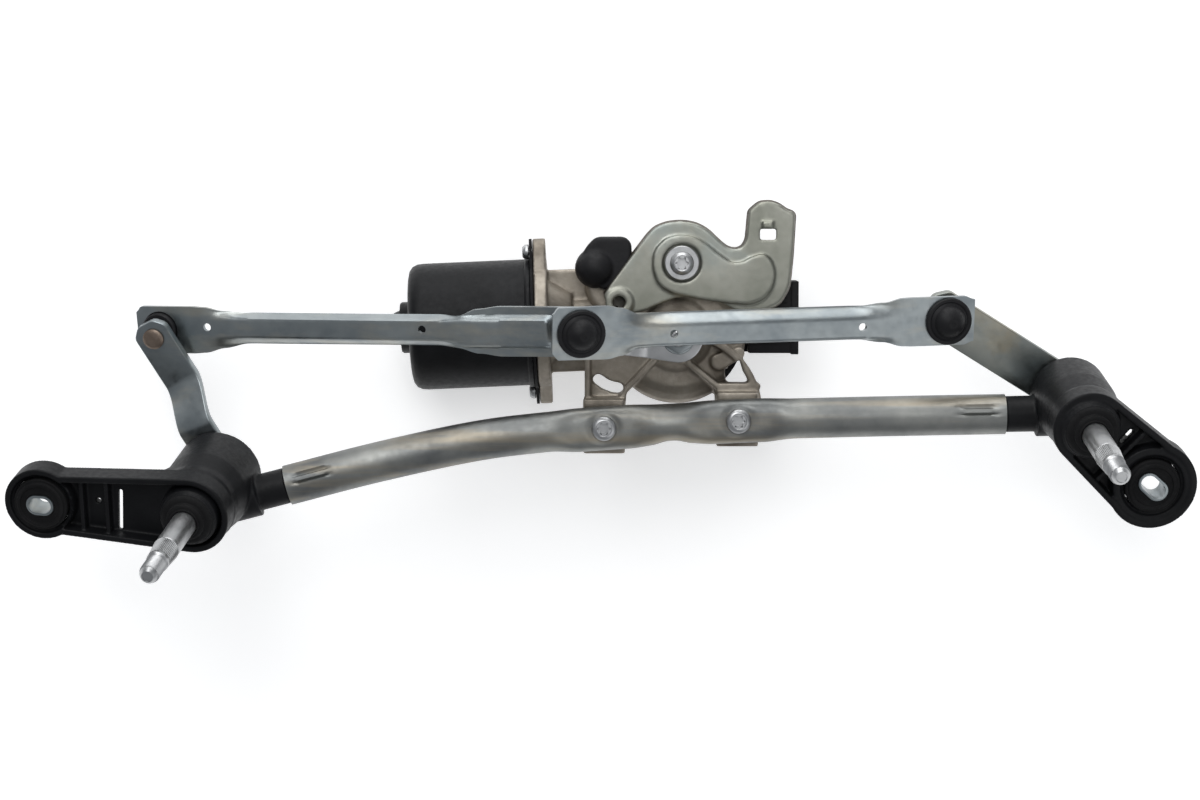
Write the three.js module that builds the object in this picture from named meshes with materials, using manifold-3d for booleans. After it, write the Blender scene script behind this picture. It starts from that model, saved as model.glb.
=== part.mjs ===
// Windshield wiper assembly: gear motor, crank, two links, two levers and two wiper spindles on one tube.
// Millimetres. The origin is on the gear cover's outer face, on the output shaft's axis.
// +Z runs along the output shaft to the crank, +X to the right pivot, +Y to the bracket's tab.
import * as THREE from 'three';
import Module from 'manifold-3d';
import { mergeVertices } from 'three/addons/utils/BufferGeometryUtils.js';

const wasm = await Module();
wasm.setup();

// ---- driving dimensions ----
const restGap = 0.3;            // kept between pieces that touch
const runGap = 0.05;            // radial play of a shaft in its bush
const degree = Math.PI / 180;

const tubeRadius = 10;
const tubeWall = 1.5;
const tubeHeight = 50;          // the tube's axis above the cover face
const tubeRoute = [[-194, -74], [-148, -62.2], [-98, -51.6], [-68, -47.8], [-36.6, -45.2],
  [-3, -43.3], [30, -41.6], [90, -39.9], [162.4, -38.5]];
const tubePress = 2.6;          // how far the tube is pressed flat under each screw
const footScrewX = [-36.6, 30]; // the two screws that hold the tube to the gear housing
const footScrewY = [-45.2, -41.6];
const footScrewRadius = 3;

const crankRadius = 48;
const crankRestAngle = 175 * degree;
const crankThickness = 4;
const crankArmHeight = 61.5;    // underside of the crank's hub
const crankStep = 6;            // the arm's outer end stands this much higher than its hub
const lowerBallHeight = 87;
const upperBallHeight = 103;
const outputShaftRadius = 5;
const nutAcross = 13;
const nutThickness = 4.5;

const ballRadius = 6.5;
const ballPlay = 0.3;
const neckRadius = 3.2;
const socketRadius = 9.2;
const socketFlangeRadius = 11.7;
const sheet = 2.2;              // the links' sheet metal
const linkLean = 10 * degree;
const leftLink = { crankPlate: 25, channel: 14, endPlate: 23, plateEnd: 62, before: 19, endLength: 34 };
const rightLink = { crankPlate: 26, channel: 15.5, endPlate: 23.5, plateEnd: 26, before: 14, endLength: 24 };
const flangeDepth = 5.5;

const leftPivot = { name: 'left', at: [-228.32, -66.71, 34.47], lean: [-0.1694, -0.3255], heading: 120.743,
  leverRadius: 71.94, leverThickness: 4.4, leverWidth: 18.5, leverStep: 16, ballDrop: 10.5,
  drumRadius: 21.5, eye: [38.5, 64.5], eyeRadius: 18.5, eyeHole: 5.7 };
const rightPivot = { name: 'right', at: [195.18, -28.06, 36.28], lean: [0.0602, -0.2577], heading: 148.242,
  leverRadius: 75.86, leverThickness: 4.4, leverWidth: 23, leverStep: 0, ballDrop: 10.5,
  drumRadius: 19.5, eye: [-43.1, 7.5], eyeRadius: 22, eyeHole: 7 };
const bossLength = 64;          // from the lever's mid plane to the top of the collar
const bossRadius = 14.5;
const spindleRadius = 6.2;
const spindleReach = 60;        // how far the spindle stands out of the collar
const threadRadius = 4.9;
const bushLength = 12;
const bushWall = 1.6;
const stubRadius = 8.5;
const plugPlay = 1.0;          // the stub's plug inside the tube is this much smaller than its bore
const stubInside = 20;          // length of the housing's stub inside the tube
const armTop = 6;               // the eye arm's front face below the collar top
const armDepth = 11;
const eyeSlotHalf = 4;          // half width of the oval eye hole
const sleeveWall = 1.4;
const grommetRadius = 13.5;

const coverThickness = 2.2;
const bowlRadius = 35;
const bowlTop = 32;
const castWall = 2.4;
const neckOuter = 12;
const neckTop = 58;
const motorY = 8.8;             // the armature's axis passes the output shaft at this Y
const motorHeight = 13;
const motorTurn = 2.5 * degree;
const tunnelRadius = 10.5;      // the casting around the worm
const canRadius = 32;
const canWall = 1.6;
const canFront = 73;            // along the motor's axis, away from the output shaft
const canBack = 134;
const flangeFront = 64.5;
const flangeBack = 71;
const gearTeeth = 50;
const pinionTeeth = 12;
const wormWheelTeeth = 24;
const gearModule = 1.25;
const gearBottom = 3.5;
const gearThickness = 4.4;
const wormRadius = 4.7;
const wormWheelRadius = 12.9;
const wormWheelFace = 7;
const wormCentre = 18;          // from the armature's axis to the idler's axis
const idlerPlace = 28;          // along the motor's axis
const neckFootRadius = 14;      // the tunnel widens from here to its flange
const flangeFootRadius = 20;
const canRim = 1;               // the can's rim and the flange stand out this much
const canScrewRadius = 1.9;
const canScrewHead = 3.75;
const canScrewGap = 0.5;        // between a screw's head and the can's rim
const canScrewAngle = 74.4 * degree;
const lobeRadius = 6.5;
const idlerBowlRadius = 17;
const bracketHeight = 36;
const bracketSheet = 2;
const bracketScrewAt = [2.3, 36.2];
const bracketRingAt = [-29, 16.5];
const bracketRingRadius = 5.5;
const tabHole = [41.2, 49.2, 47.6, 53.1];
const connector = { left: 36.5, right: 60, low: -10, high: 26, top: 18, wall: 2.5, floor: 3 };
const breatherAt = [-41, 33.5, 30];
const breatherRadius = 10;

// ---- small helpers ----
const finish = (color, roughness, metalness) => (
  new THREE.MeshStandardMaterial({ color, roughness, metalness })
);
const castAluminium = finish(0xb3ab9c, 0.55, 0.85);
const zincSteel = finish(0x9aa5ad, 0.35, 0.95);
const yellowZinc = finish(0x8f9288, 0.38, 0.95);
const tubeSteel = finish(0x8d8b82, 0.4, 0.95);
const brightSteel = finish(0xb9bcbd, 0.25, 1);
const blackPaint = finish(0x17181a, 0.42, 0.3);
const blackPlastic = finish(0x1a1b1d, 0.6, 0);
const greyPlastic = finish(0x3a3b3d, 0.6, 0);
const whitePlastic = finish(0xd8d4c6, 0.5, 0);
const rubber = finish(0x151515, 0.85, 0);
const bronze = finish(0x8a6a3a, 0.5, 0.9);
const copper = finish(0xb4703c, 0.35, 1);
const ferrite = finish(0x2b2b2e, 0.8, 0.1);
const bracketSteel = finish(0xa2a396, 0.4, 0.95);
const rivetSteel = finish(0x7b6a5c, 0.5, 0.9);

// Where the can's screws stand across the motor's axis, as the height above it and the distance beside it.
const canScrewReach = canRadius + canRim + canScrewHead + canScrewGap;
const canScrewHigh = canScrewReach * Math.cos(canScrewAngle);
const canScrewWide = canScrewReach * Math.sin(canScrewAngle);
const canScrews = { upper: [canScrewHigh, canScrewWide], lower: [-canScrewHigh, -canScrewWide] };

const put = (geometry, x, y, z) => geometry.clone().translate(x, y, z);
const moved = (geometry, matrix) => geometry.clone().applyMatrix4(matrix);

function asSolid(geometry) {
  const bare = geometry.clone();
  for (const name of Object.keys(bare.attributes)) {
    if (name !== 'position') bare.deleteAttribute(name);
  }
  const merged = mergeVertices(bare, 1e-4);
  return new wasm.Manifold(new wasm.Mesh({
    numProp: 3,
    vertProperties: new Float32Array(merged.attributes.position.array),
    triVerts: new Uint32Array(merged.index.array),
  }));
}

function asGeometry(solid) {
  const mesh = solid.getMesh();
  const geometry = new THREE.BufferGeometry();
  geometry.setAttribute('position', new THREE.BufferAttribute(new Float32Array(mesh.vertProperties), 3));
  geometry.setIndex(new THREE.BufferAttribute(new Uint32Array(mesh.triVerts), 1));
  return geometry;
}

const join = (...pieces) => asGeometry(pieces.map(asSolid).reduce((whole, next) => whole.add(next)));
const cut = (base, ...tools) => asGeometry(
  tools.map(asSolid).reduce((left, tool) => left.subtract(tool), asSolid(base)),
);

// A cylinder or cone that stands along Z from one height to another.
function rod(radius, from, to, sides = 16, topRadius = radius) {
  const shape = new THREE.CylinderGeometry(topRadius, radius, to - from, sides);
  return shape.rotateX(Math.PI / 2).translate(0, 0, (from + to) / 2);
}

// The radius of a faceted bore whose flats clear a shaft that turns in it.
const boreFor = (radius, sides = 16) => (radius + runGap) / Math.cos(Math.PI / sides);

function block(x0, x1, y0, y1, z0, z1) {
  const shape = new THREE.BoxGeometry(x1 - x0, y1 - y0, z1 - z0);
  return shape.translate((x0 + x1) / 2, (y0 + y1) / 2, (z0 + z1) / 2);
}

// A profile of [radius, height] points turned around Z, listed upward along the outside.
function turned(profile, sides = 16) {
  const points = profile.map(([radius, height]) => new THREE.Vector2(radius, height));
  return new THREE.LatheGeometry(points, sides).rotateX(Math.PI / 2);
}

// A ring listed as its outer and inner radius.
function ring(outer, inner, from, to, sides = 16) {
  return turned([[inner, from], [outer, from], [outer, to], [inner, to], [inner, from]], sides);
}

function slab(points, from, to, holes = []) {
  const shape = new THREE.Shape(points.map(([x, y]) => new THREE.Vector2(x, y)));
  for (const hole of holes) {
    shape.holes.push(hole);
  }
  const settings = { depth: to - from, bevelEnabled: false, curveSegments: 10 };
  return new THREE.ExtrudeGeometry(shape, settings).translate(0, 0, from);
}

// The outline around two circles, as a belt around two pulleys.
function belt(xa, ya, ra, xb, yb, rb, steps = 10) {
  const length = Math.hypot(xb - xa, yb - ya);
  const along = Math.atan2(yb - ya, xb - xa);
  const side = Math.acos((ra - rb) / length);
  const points = [];
  for (let i = 0; i <= steps; i += 1) {
    const angle = along + side + (2 * Math.PI - 2 * side) * (i / steps);
    points.push([xa + ra * Math.cos(angle), ya + ra * Math.sin(angle)]);
  }
  for (let i = 0; i <= steps; i += 1) {
    const angle = along - side + 2 * side * (i / steps);
    points.push([xb + rb * Math.cos(angle), yb + rb * Math.sin(angle)]);
  }
  return points;
}

const oval = (x, y, half, reach, dirX, dirY, steps = 8) => belt(x - dirX * reach, y - dirY * reach, half,
  x + dirX * reach, y + dirY * reach, half, steps);

// A straight round bar between two points.
function bar(a, b, radius, sides = 18) {
  const start = new THREE.Vector3(...a);
  const end = new THREE.Vector3(...b);
  const direction = end.clone().sub(start);
  const shape = new THREE.CylinderGeometry(radius, radius, direction.length(), sides);
  const upright = new THREE.Vector3(0, 1, 0);
  const turn = new THREE.Quaternion().setFromUnitVectors(upright, direction.clone().normalize());
  return shape.applyQuaternion(turn).translate(...start.add(end).multiplyScalar(0.5).toArray());
}

const wiper = new THREE.Group();
function addTo(group, name, geometry, material) {
  const shape = geometry.index ? geometry.toNonIndexed() : geometry;
  shape.deleteAttribute('normal');
  shape.computeVertexNormals();
  const mesh = new THREE.Mesh(shape, material);
  mesh.name = name;
  group.add(mesh);
}
const add = (name, geometry, material) => addTo(wiper, name, geometry, material);

function frameOf(origin, xAxis, zAxis) {
  const x = xAxis.clone().normalize();
  const z = zAxis.clone().addScaledVector(x, -zAxis.dot(x)).normalize();
  const y = new THREE.Vector3().crossVectors(z, x);
  return new THREE.Matrix4().makeBasis(x, y, z).setPosition(origin);
}

// ---- frames of the pivots, the motor and the links ----
function pivotFrame(pivot) {
  const [leanX, leanY] = pivot.lean;
  const axis = new THREE.Vector3(leanX, leanY, Math.sqrt(1 - leanX * leanX - leanY * leanY));
  const headX = Math.cos(pivot.heading * degree);
  const headY = Math.sin(pivot.heading * degree);
  const head = new THREE.Vector3(headX, headY, -(axis.x * headX + axis.y * headY) / axis.z);
  return frameOf(new THREE.Vector3(...pivot.at), head, axis);
}

const frames = { left: pivotFrame(leftPivot), right: pivotFrame(rightPivot) };
const leftBall = new THREE.Vector3(leftPivot.leverRadius, 0, -leftPivot.leverStep - leftPivot.ballDrop)
  .applyMatrix4(frames.left);
const rightBall = new THREE.Vector3(rightPivot.leverRadius, 0, rightPivot.ballDrop)
  .applyMatrix4(frames.right);
const pinX = crankRadius * Math.cos(crankRestAngle);
const pinY = crankRadius * Math.sin(crankRestAngle);
const lowerBall = new THREE.Vector3(pinX, pinY, lowerBallHeight);
const upperBall = new THREE.Vector3(pinX, pinY, upperBallHeight);

const motorFrame = new THREE.Matrix4().makeRotationZ(motorTurn).setPosition(0, motorY, motorHeight);
// Turns a piece that stands along Z so that its +Z runs away from the output shaft, along the motor's axis.
const alongMotor = new THREE.Matrix4().makeRotationY(-Math.PI / 2).premultiply(motorFrame);
const idlerCentre = new THREE.Vector3(-idlerPlace, wormCentre, 0).applyMatrix4(motorFrame);

function tubeCurve() {
  return new THREE.CatmullRomCurve3(tubeRoute.map(([x, y]) => new THREE.Vector3(x, y, tubeHeight)));
}

// ---- frame tube ----
function ringPath(radius, sides) {
  const path = new THREE.Shape();
  for (let i = 0; i < sides; i += 1) {
    const angle = (i / sides) * 2 * Math.PI;
    if (i === 0) path.moveTo(radius * Math.cos(angle), radius * Math.sin(angle));
    else path.lineTo(radius * Math.cos(angle), radius * Math.sin(angle));
  }
  path.closePath();
  return path;
}

function frameTube() {
  const shape = ringPath(tubeRadius, 14);
  shape.holes.push(ringPath(tubeRadius - tubeWall, 14));
  const tube = new THREE.ExtrudeGeometry(shape, { steps: 36, bevelEnabled: false, extrudePath: tubeCurve() });
  const spot = tube.attributes.position;
  for (let i = 0; i < spot.count; i += 1) {
    const near = Math.min(...footScrewX.map((x) => Math.abs(spot.getX(i) - x)));
    const press = tubePress * (1 - THREE.MathUtils.smoothstep(near, 15, 26));
    const rise = spot.getZ(i) - tubeHeight;
    const limit = tubeRadius - press;
    spot.setZ(i, tubeHeight + rise * (limit / tubeRadius));
  }
  const drill = rod(footScrewRadius + 0.6, tubeHeight - tubeRadius, tubeHeight + tubeRadius, 18);
  const holes = footScrewX.map((x, i) => put(drill, x, footScrewY[i], 0));
  return cut(tube, ...holes);
}

// ---- pivot housings, their bushes, seals, sleeves and grommets ----
function tubeEnd(side) {
  const curve = tubeCurve();
  const place = side === 'left' ? 0 : 1;
  const point = curve.getPoint(place);
  const inward = curve.getTangent(place).multiplyScalar(side === 'left' ? 1 : -1);
  return { point, inward };
}

function pivotHousing(pivot) {
  const toLocal = frames[pivot.name].clone().invert();
  const { point, inward } = tubeEnd(pivot.name);
  const inside = point.clone().addScaledVector(inward, stubInside).applyMatrix4(toLocal);
  const along = inward.clone().transformDirection(toLocal);
  const reach = inside.dot(along);
  const mouth = inside.clone().addScaledVector(along, -stubInside - restGap);
  const outside = inside.clone().addScaledVector(along, -reach - 2);
  const [eyeX, eyeY] = pivot.eye;
  const eyeLength = Math.hypot(eyeX, eyeY);
  const top = bossLength - armTop;
  const low = pivot.leverThickness / 2 + 1.5;
  const body = join(
    rod(bossRadius, low, bossLength - 3, 26),
    rod(pivot.drumRadius, low, low + 16, 26),
    rod(pivot.drumRadius, low + 16, low + 32, 26, bossRadius),
    bar(inside.toArray(), outside.toArray(), tubeRadius - tubeWall - plugPlay, 16),
    bar(mouth.toArray(), outside.toArray(), stubRadius, 16),
    slab(belt(0, 0, bossRadius + 4, eyeX, eyeY, pivot.eyeRadius, 14), top - armDepth, top),
    slab(belt(0, 0, pivot.drumRadius - 2, eyeX * 0.6, eyeY * 0.6, 8, 12), top - armDepth - 8, top - armDepth),
  );
  const bore = rod(spindleRadius + bushWall + restGap, -5, bossLength + 5, 16);
  const seat = rod(bossRadius - 2, bossLength - 6, bossLength + 5, 16);
  const eye = put(rod(grommetRadius + restGap, top - armDepth - 9, top + 1, 18), eyeX, eyeY, 0);
  // Pocket between the collar and the eye, walled all round, with a rib left across it.
  const unitX = eyeX / eyeLength;
  const unitY = eyeY / eyeLength;
  const pocketStart = bossRadius + 5;
  const pocketEnd = eyeLength - grommetRadius - 4.5;
  const pocketMiddle = (pocketStart + pocketEnd) / 2;
  const pocket = (from, to, half, bottom) => slab([
    [unitX * from - unitY * half, unitY * from + unitX * half],
    [unitX * from + unitY * half, unitY * from - unitX * half],
    [unitX * to + unitY * half, unitY * to - unitX * half],
    [unitX * to - unitY * half, unitY * to + unitX * half],
  ], bottom, top + 1);
  const pockets = [
    pocket(pocketStart, pocketMiddle - 1, pivot.drumRadius - 8, top - 6),
    pocket(pocketMiddle + 1, pocketEnd, pivot.drumRadius - 8, top - 6),
  ];
  const slot = pocket(pocketMiddle + 1.5, pocketMiddle + 3, pivot.drumRadius - 11.5, top - armDepth - 12);
  return cut(body, bore, seat, eye, ...pockets, slot);
}

function buildPivot(pivot) {
  const side = new THREE.Group();
  side.applyMatrix4(frames[pivot.name]);
  wiper.add(side);
  const name = pivot.name;
  const top = bossLength - armTop;
  const low = pivot.leverThickness / 2 + 1.5;
  const [eyeX, eyeY] = pivot.eye;
  const eyeLength = Math.hypot(eyeX, eyeY);
  const bushRing = (from) => ring(spindleRadius + bushWall, boreFor(spindleRadius), from, from + bushLength);
  const sealBore = boreFor(spindleRadius + 0.2);
  addTo(side, `${name}_pivot_housing`, pivotHousing(pivot), blackPaint);
  addTo(side, `${name}_lower_bush`, bushRing(low + 1), bronze);
  addTo(side, `${name}_upper_bush`, bushRing(bossLength - 6 - bushLength - 1), bronze);
  addTo(side, `${name}_spindle_seal`, turned([
    [sealBore, bossLength - 5.5], [bossRadius - 2.4, bossLength - 5.5], [bossRadius - 2.4, bossLength - 2.6],
    [bossRadius - 1.6, bossLength - 2.6], [bossRadius - 2.2, bossLength - 0.6],
    [spindleRadius + 2.6, bossLength],
    [sealBore, bossLength], [sealBore, bossLength - 5.5],
  ], 16), rubber);
  const inner = pivot.eyeHole - eyeSlotHalf;
  const eyeOval = (half) => oval(eyeX, eyeY, half, inner, eyeX / eyeLength, eyeY / eyeLength);
  const sleeveHole = new THREE.Path(eyeOval(eyeSlotHalf).map(([x, y]) => new THREE.Vector2(x, y)));
  const sleeve = eyeOval(eyeSlotHalf + sleeveWall);
  const sleeveRoom = eyeOval(eyeSlotHalf + sleeveWall + restGap);
  addTo(side, `${name}_eye_sleeve`, slab(sleeve, top - armDepth - 1, top + 1.5, [sleeveHole]), zincSteel);
  const grommet = join(
    put(rod(grommetRadius, top - armDepth, top, 18), eyeX, eyeY, 0),
    put(rod(grommetRadius - 2.5, top, top + 1.2, 18), eyeX, eyeY, 0),
  );
  addTo(side, `${name}_eye_grommet`, cut(grommet, slab(sleeveRoom, top - armDepth - 2, top + 3)), rubber);
  return side;
}

// ---- spindles and levers ----
function spindle(pivot) {
  const half = pivot.leverThickness / 2;
  const tip = bossLength + spindleReach;
  return turned([
    [0, -half - 2], [spindleRadius - 1.2, -half - 2], [spindleRadius - 1.2, half + restGap],
    [spindleRadius + 1.8, half + restGap], [spindleRadius + 1.8, half + 1.2],
    [spindleRadius, half + 1.2], [spindleRadius, tip - 30], [spindleRadius - 0.9, tip - 17],
    [threadRadius, tip - 16], [threadRadius, tip - 1.6], [threadRadius - 1.5, tip], [0, tip],
  ], 16);
}

function lever(pivot) {
  const half = pivot.leverWidth / 2;
  const reach = pivot.leverRadius;
  const tip = reach + half * 0.92;
  const tail = -half * 0.95;
  const corner = half * 0.45;
  const flat = slab([
    [tail, -half + corner], [tail + corner, -half], [tip - corner, -half], [tip, -half + corner + 1],
    [tip, half - corner - 1], [tip - corner, half], [tail + corner, half], [tail, half - corner],
  ], -40, 26);
  // Side view of the strip, with its step between the two flat ends.
  const drop = pivot.leverStep;
  const thick = pivot.leverThickness;
  const bendStart = reach * 0.34;
  const bendEnd = bendStart + drop * 1.35;
  const side = drop > 0
    ? [[tail - 1, thick / 2], [tail - 1, -thick / 2], [bendStart, -thick / 2], [bendEnd, -thick / 2 - drop],
      [tip + 1, -thick / 2 - drop], [tip + 1, thick / 2 - drop], [bendEnd + 1.6, thick / 2 - drop],
      [bendStart + 1.6, thick / 2]]
    : [[tail - 1, thick / 2], [tail - 1, -thick / 2], [tip + 1, -thick / 2], [tip + 1, thick / 2]];
  const strip = slab(side, -half - 1, half + 1).rotateX(Math.PI / 2);
  const bore = rod(spindleRadius - 1.2 + runGap, -thick, thick, 16);
  const ridge = asGeometry(asSolid(flat).intersect(asSolid(strip)));
  return cut(ridge, bore);
}

// The ball stud's foot is a dome about the ball's centre, so it never digs into the lever as the link swings.
function ballStud(clearTo) {
  const foot = clearTo - restGap;
  const points = [[0, -ballRadius]];
  for (let i = 1; i <= 9; i += 1) {
    const angle = -90 * degree + i * 15 * degree;
    points.push([ballRadius * Math.cos(angle), ballRadius * Math.sin(angle)]);
  }
  const neckStart = Math.sqrt(ballRadius * ballRadius - neckRadius * neckRadius);
  const kept = points.filter(([radius, height]) => height < neckStart - 0.3);
  kept.push([neckRadius, neckStart]);
  const rim = Math.asin(4 / foot);
  kept.push([neckRadius, foot * Math.cos(rim) - 1]);
  kept.push([4, foot * Math.cos(rim)]);
  kept.push([2, foot * Math.cos(rim / 2)]);
  kept.push([0, foot]);
  return turned(kept, 16);
}

function buildLever(pivot, side) {
  const name = pivot.name;
  addTo(side, `${name}_spindle`, spindle(pivot), brightSteel);
  addTo(side, `${name}_lever`, lever(pivot), name === 'left' ? zincSteel : yellowZinc);
  const faceHeight = -pivot.leverStep + (name === 'left' ? 1 : -1) * (pivot.leverThickness / 2 + restGap);
  const head = rod(5.3, 0, 1.6, 20, 4.6);
  const rivet = name === 'left'
    ? put(head, pivot.leverRadius, 0, faceHeight)
    : put(head.rotateX(Math.PI), pivot.leverRadius, 0, faceHeight);
  addTo(side, `${name}_lever_rivet`, rivet, rivetSteel);
  // The stud reaches from the ball's centre toward the lever.
  const stud = ballStud(pivot.ballDrop - pivot.leverThickness / 2);
  const place = name === 'left'
    ? put(stud, pivot.leverRadius, 0, -pivot.leverStep - pivot.ballDrop)
    : put(stud.rotateX(Math.PI), pivot.leverRadius, 0, pivot.ballDrop);
  addTo(side, `${name}_ball_stud`, place, brightSteel);
}

// ---- links ----
function linkFrame(from, to) {
  const along = to.clone().sub(from);
  return frameOf(from, along, new THREE.Vector3(0, -Math.sin(linkLean), Math.cos(linkLean)));
}

function linkBar(link, length) {
  const plate = link.crankPlate / 2;
  const strip = link.channel / 2;
  const end = link.endPlate / 2;
  const back = -link.before;
  const neckEnd = link.plateEnd + 12;
  const endStart = length - link.endLength;
  const outline = [
    [back, -plate * 0.55], [back + plate * 0.4, -plate], [link.plateEnd, -plate], [neckEnd, -strip],
    [endStart - 10, -strip], [endStart, -end], [length + end * 0.75, -end], [length + end * 0.9, -end * 0.6],
    [length + end * 0.9, end * 0.6], [length + end * 0.75, end], [endStart, end], [endStart - 10, strip],
    [neckEnd, strip], [link.plateEnd, plate], [back + plate * 0.4, plate], [back, plate * 0.55],
  ];
  const web = slab(outline, -sheet / 2, sheet / 2);
  // A folded edge hangs from each side of the channel and runs out at both ends.
  const fold = (y0) => slab([[neckEnd, 0.5], [neckEnd + 16, -flangeDepth], [endStart - 26, -flangeDepth],
    [endStart - 10, 0.5]], 0, sheet - 0.4).rotateX(Math.PI / 2).translate(0, y0 + sheet - 0.4, 0);
  const holes = [
    rod(socketRadius + restGap, -3, 3, 16),
    put(rod(socketRadius + restGap, -3, 3, 16), length, 0, 0),
    put(rod(2, -3, 3, 16), neckEnd + 6, 0, 0),
    put(rod(2, -3, 3, 16), endStart - 16, 0, 0),
  ];
  return cut(join(web, fold(-strip), fold(strip - sheet + 0.4)), ...holes);
}

// A plastic ball socket; a capped one is closed over the ball by a dome.
function socket(capped) {
  const inner = ballRadius + ballPlay;
  const lip = 4;
  const open = Math.sqrt(inner * inner - lip * lip);
  const hollow = [];
  for (let i = 0; i <= 6; i += 1) {
    const angle = Math.asin(lip / inner) * (1 - i / 3);
    hollow.push([inner * Math.cos(angle), inner * Math.sin(angle)]);
  }
  const rimTop = sheet / 2 + restGap;
  const outside = [
    [open + 1, -lip], [socketRadius - 0.6, -lip], [socketRadius, -lip + 0.8], [socketRadius, rimTop],
    [socketFlangeRadius, rimTop], [socketFlangeRadius, rimTop + 1.6], [socketRadius - 0.4, rimTop + 2.4],
  ];
  if (!capped) {
    return turned([...outside, [open + 0.6, lip], ...hollow, [open + 1, -lip]], 16);
  }
  const dome = [];
  for (let i = 1; i <= 5; i += 1) {
    const angle = 25 * degree + (65 * degree * i) / 5;
    dome.push([i === 5 ? 0 : (inner + 1.9) * Math.cos(angle), (inner + 1.9) * Math.sin(angle)]);
  }
  const cup = turned([[0, -lip], ...outside, ...dome], 16);
  const ball = [];
  for (let i = 0; i <= 10; i += 1) {
    const angle = -90 * degree + i * 18 * degree;
    ball.push([i === 0 || i === 10 ? 0 : inner * Math.cos(angle), inner * Math.sin(angle)]);
  }
  return cut(cup, turned(ball, 16), rod(open, -lip - 1, -lip + 1, 16));
}

function buildLink(name, link, from, to) {
  const side = new THREE.Group();
  side.applyMatrix4(linkFrame(from, to));
  wiper.add(side);
  const length = from.distanceTo(to);
  addTo(side, `${name}_link_bar`, linkBar(link, length), zincSteel);
  const crankSocket = name === 'left' ? socket(false) : socket(true);
  addTo(side, `${name}_link_crank_socket`, crankSocket, blackPlastic);
  const endSocket = name === 'left' ? socket(true).rotateX(Math.PI) : socket(true);
  addTo(side, `${name}_link_end_socket`, put(endSocket, length, 0, 0), blackPlastic);
}

// ---- crank, output shaft and gears ----
function toothed(teeth, pitchRadius, from, to, addendum = 0.85, dedendum = 1.2) {
  const points = [];
  const pitch = (2 * Math.PI) / teeth;
  for (let i = 0; i < teeth; i += 1) {
    const middle = i * pitch;
    points.push([pitchRadius - dedendum, middle - 0.33 * pitch]);
    points.push([pitchRadius + addendum, middle - 0.12 * pitch]);
    points.push([pitchRadius + addendum, middle + 0.12 * pitch]);
    points.push([pitchRadius - dedendum, middle + 0.33 * pitch]);
  }
  const outline = points.map(([radius, angle]) => [radius * Math.cos(angle), radius * Math.sin(angle)]);
  return slab(outline, from, to);
}

function buildCrank() {
  const top = crankArmHeight + crankThickness;
  const shaftTop = top + nutThickness + 1;
  add('output_shaft', turned([
    [0, gearBottom - 0.6], [outputShaftRadius, gearBottom - 0.6],
    [outputShaftRadius, crankArmHeight - restGap],
    [4, crankArmHeight - restGap], [4, shaftTop - 0.8], [3.2, shaftTop], [0, shaftTop],
  ], 16), brightSteel);
  const gear = toothed(gearTeeth, gearTeeth * gearModule / 2, gearBottom, gearBottom + gearThickness);
  const meshAngle = Math.atan2(idlerCentre.y, idlerCentre.x);
  const gearGeometry = cut(gear.rotateZ(meshAngle), rod(outputShaftRadius + runGap, 0, 20, 16));
  add('output_gear', gearGeometry, whitePlastic);

  const armFrame = new THREE.Matrix4().makeRotationZ(crankRestAngle);
  const outline = slab(belt(0, 0, 12, crankRadius, 0, 9, 14), 0, 26);
  const side = slab([
    [-14, 0], [16, 0], [26, crankStep], [62, crankStep], [62, crankStep + crankThickness],
    [24.6, crankStep + crankThickness], [14.6, crankThickness], [-14, crankThickness],
  ], -14, 14).rotateX(Math.PI / 2);
  const arm = asGeometry(asSolid(outline).intersect(asSolid(side)));
  const drilled = cut(arm, rod(4.3, -1, 20, 16), put(rod(4.3, -1, 20, 16), crankRadius, 0, 0));
  add('crank_arm', moved(put(drilled, 0, 0, crankArmHeight), armFrame), brightSteel);
  const hex = rod(nutAcross / 2 / Math.cos(30 * degree), top + restGap, top + nutThickness, 6);
  add('crank_nut', cut(hex, rod(4.3, 0, 90, 16)), zincSteel);

  const pinFoot = crankArmHeight + crankStep;
  const ballPoints = (height) => {
    const points = [];
    const start = Math.asin(neckRadius / ballRadius);
    for (let i = 0; i <= 8; i += 1) {
      const angle = -Math.PI / 2 + start + (Math.PI - 2 * start) * (i / 8);
      points.push([ballRadius * Math.cos(angle), height + ballRadius * Math.sin(angle)]);
    }
    return points;
  };
  const upper = ballPoints(upperBallHeight).slice(0, -1);
  add('crank_ball_pin', put(turned([
    [0, pinFoot - 1.5], [6, pinFoot - 1.5], [6, pinFoot - restGap], [4, pinFoot - restGap],
    [4, pinFoot + crankThickness + restGap], [6.4, pinFoot + crankThickness + restGap],
    [6.4, pinFoot + crankThickness + 2.4], [neckRadius, pinFoot + crankThickness + 4],
    ...ballPoints(lowerBallHeight), ...upper, [0, upperBallHeight + ballRadius],
  ], 18), pinX, pinY, 0), brightSteel);

  const pinionRadius = pinionTeeth * gearModule / 2;
  const facing = meshAngle + Math.PI + Math.PI / pinionTeeth;
  const pinionTop = gearBottom + gearThickness + 1.4;
  const pinion = toothed(pinionTeeth, pinionRadius, gearBottom, pinionTop).rotateZ(facing);
  const half = wormWheelFace / 2;
  const wheelPitch = wormWheelRadius - 0.6;
  const wheel = toothed(wormWheelTeeth, wheelPitch, motorHeight - half, motorHeight + half, 0.6, 0.6);
  const hub = rod(5, gearBottom, motorHeight + 6, 16);
  const idler = cut(join(pinion, wheel, hub), rod(boreFor(2.5, 18), 0, 30, 18));
  add('idler_gear', put(idler, idlerCentre.x, idlerCentre.y, 0), whitePlastic);
  const pin = rod(2.5, coverThickness + restGap, bowlTop - 4, 18);
  add('idler_pin', put(pin, idlerCentre.x, idlerCentre.y, 0), brightSteel);
}

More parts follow.
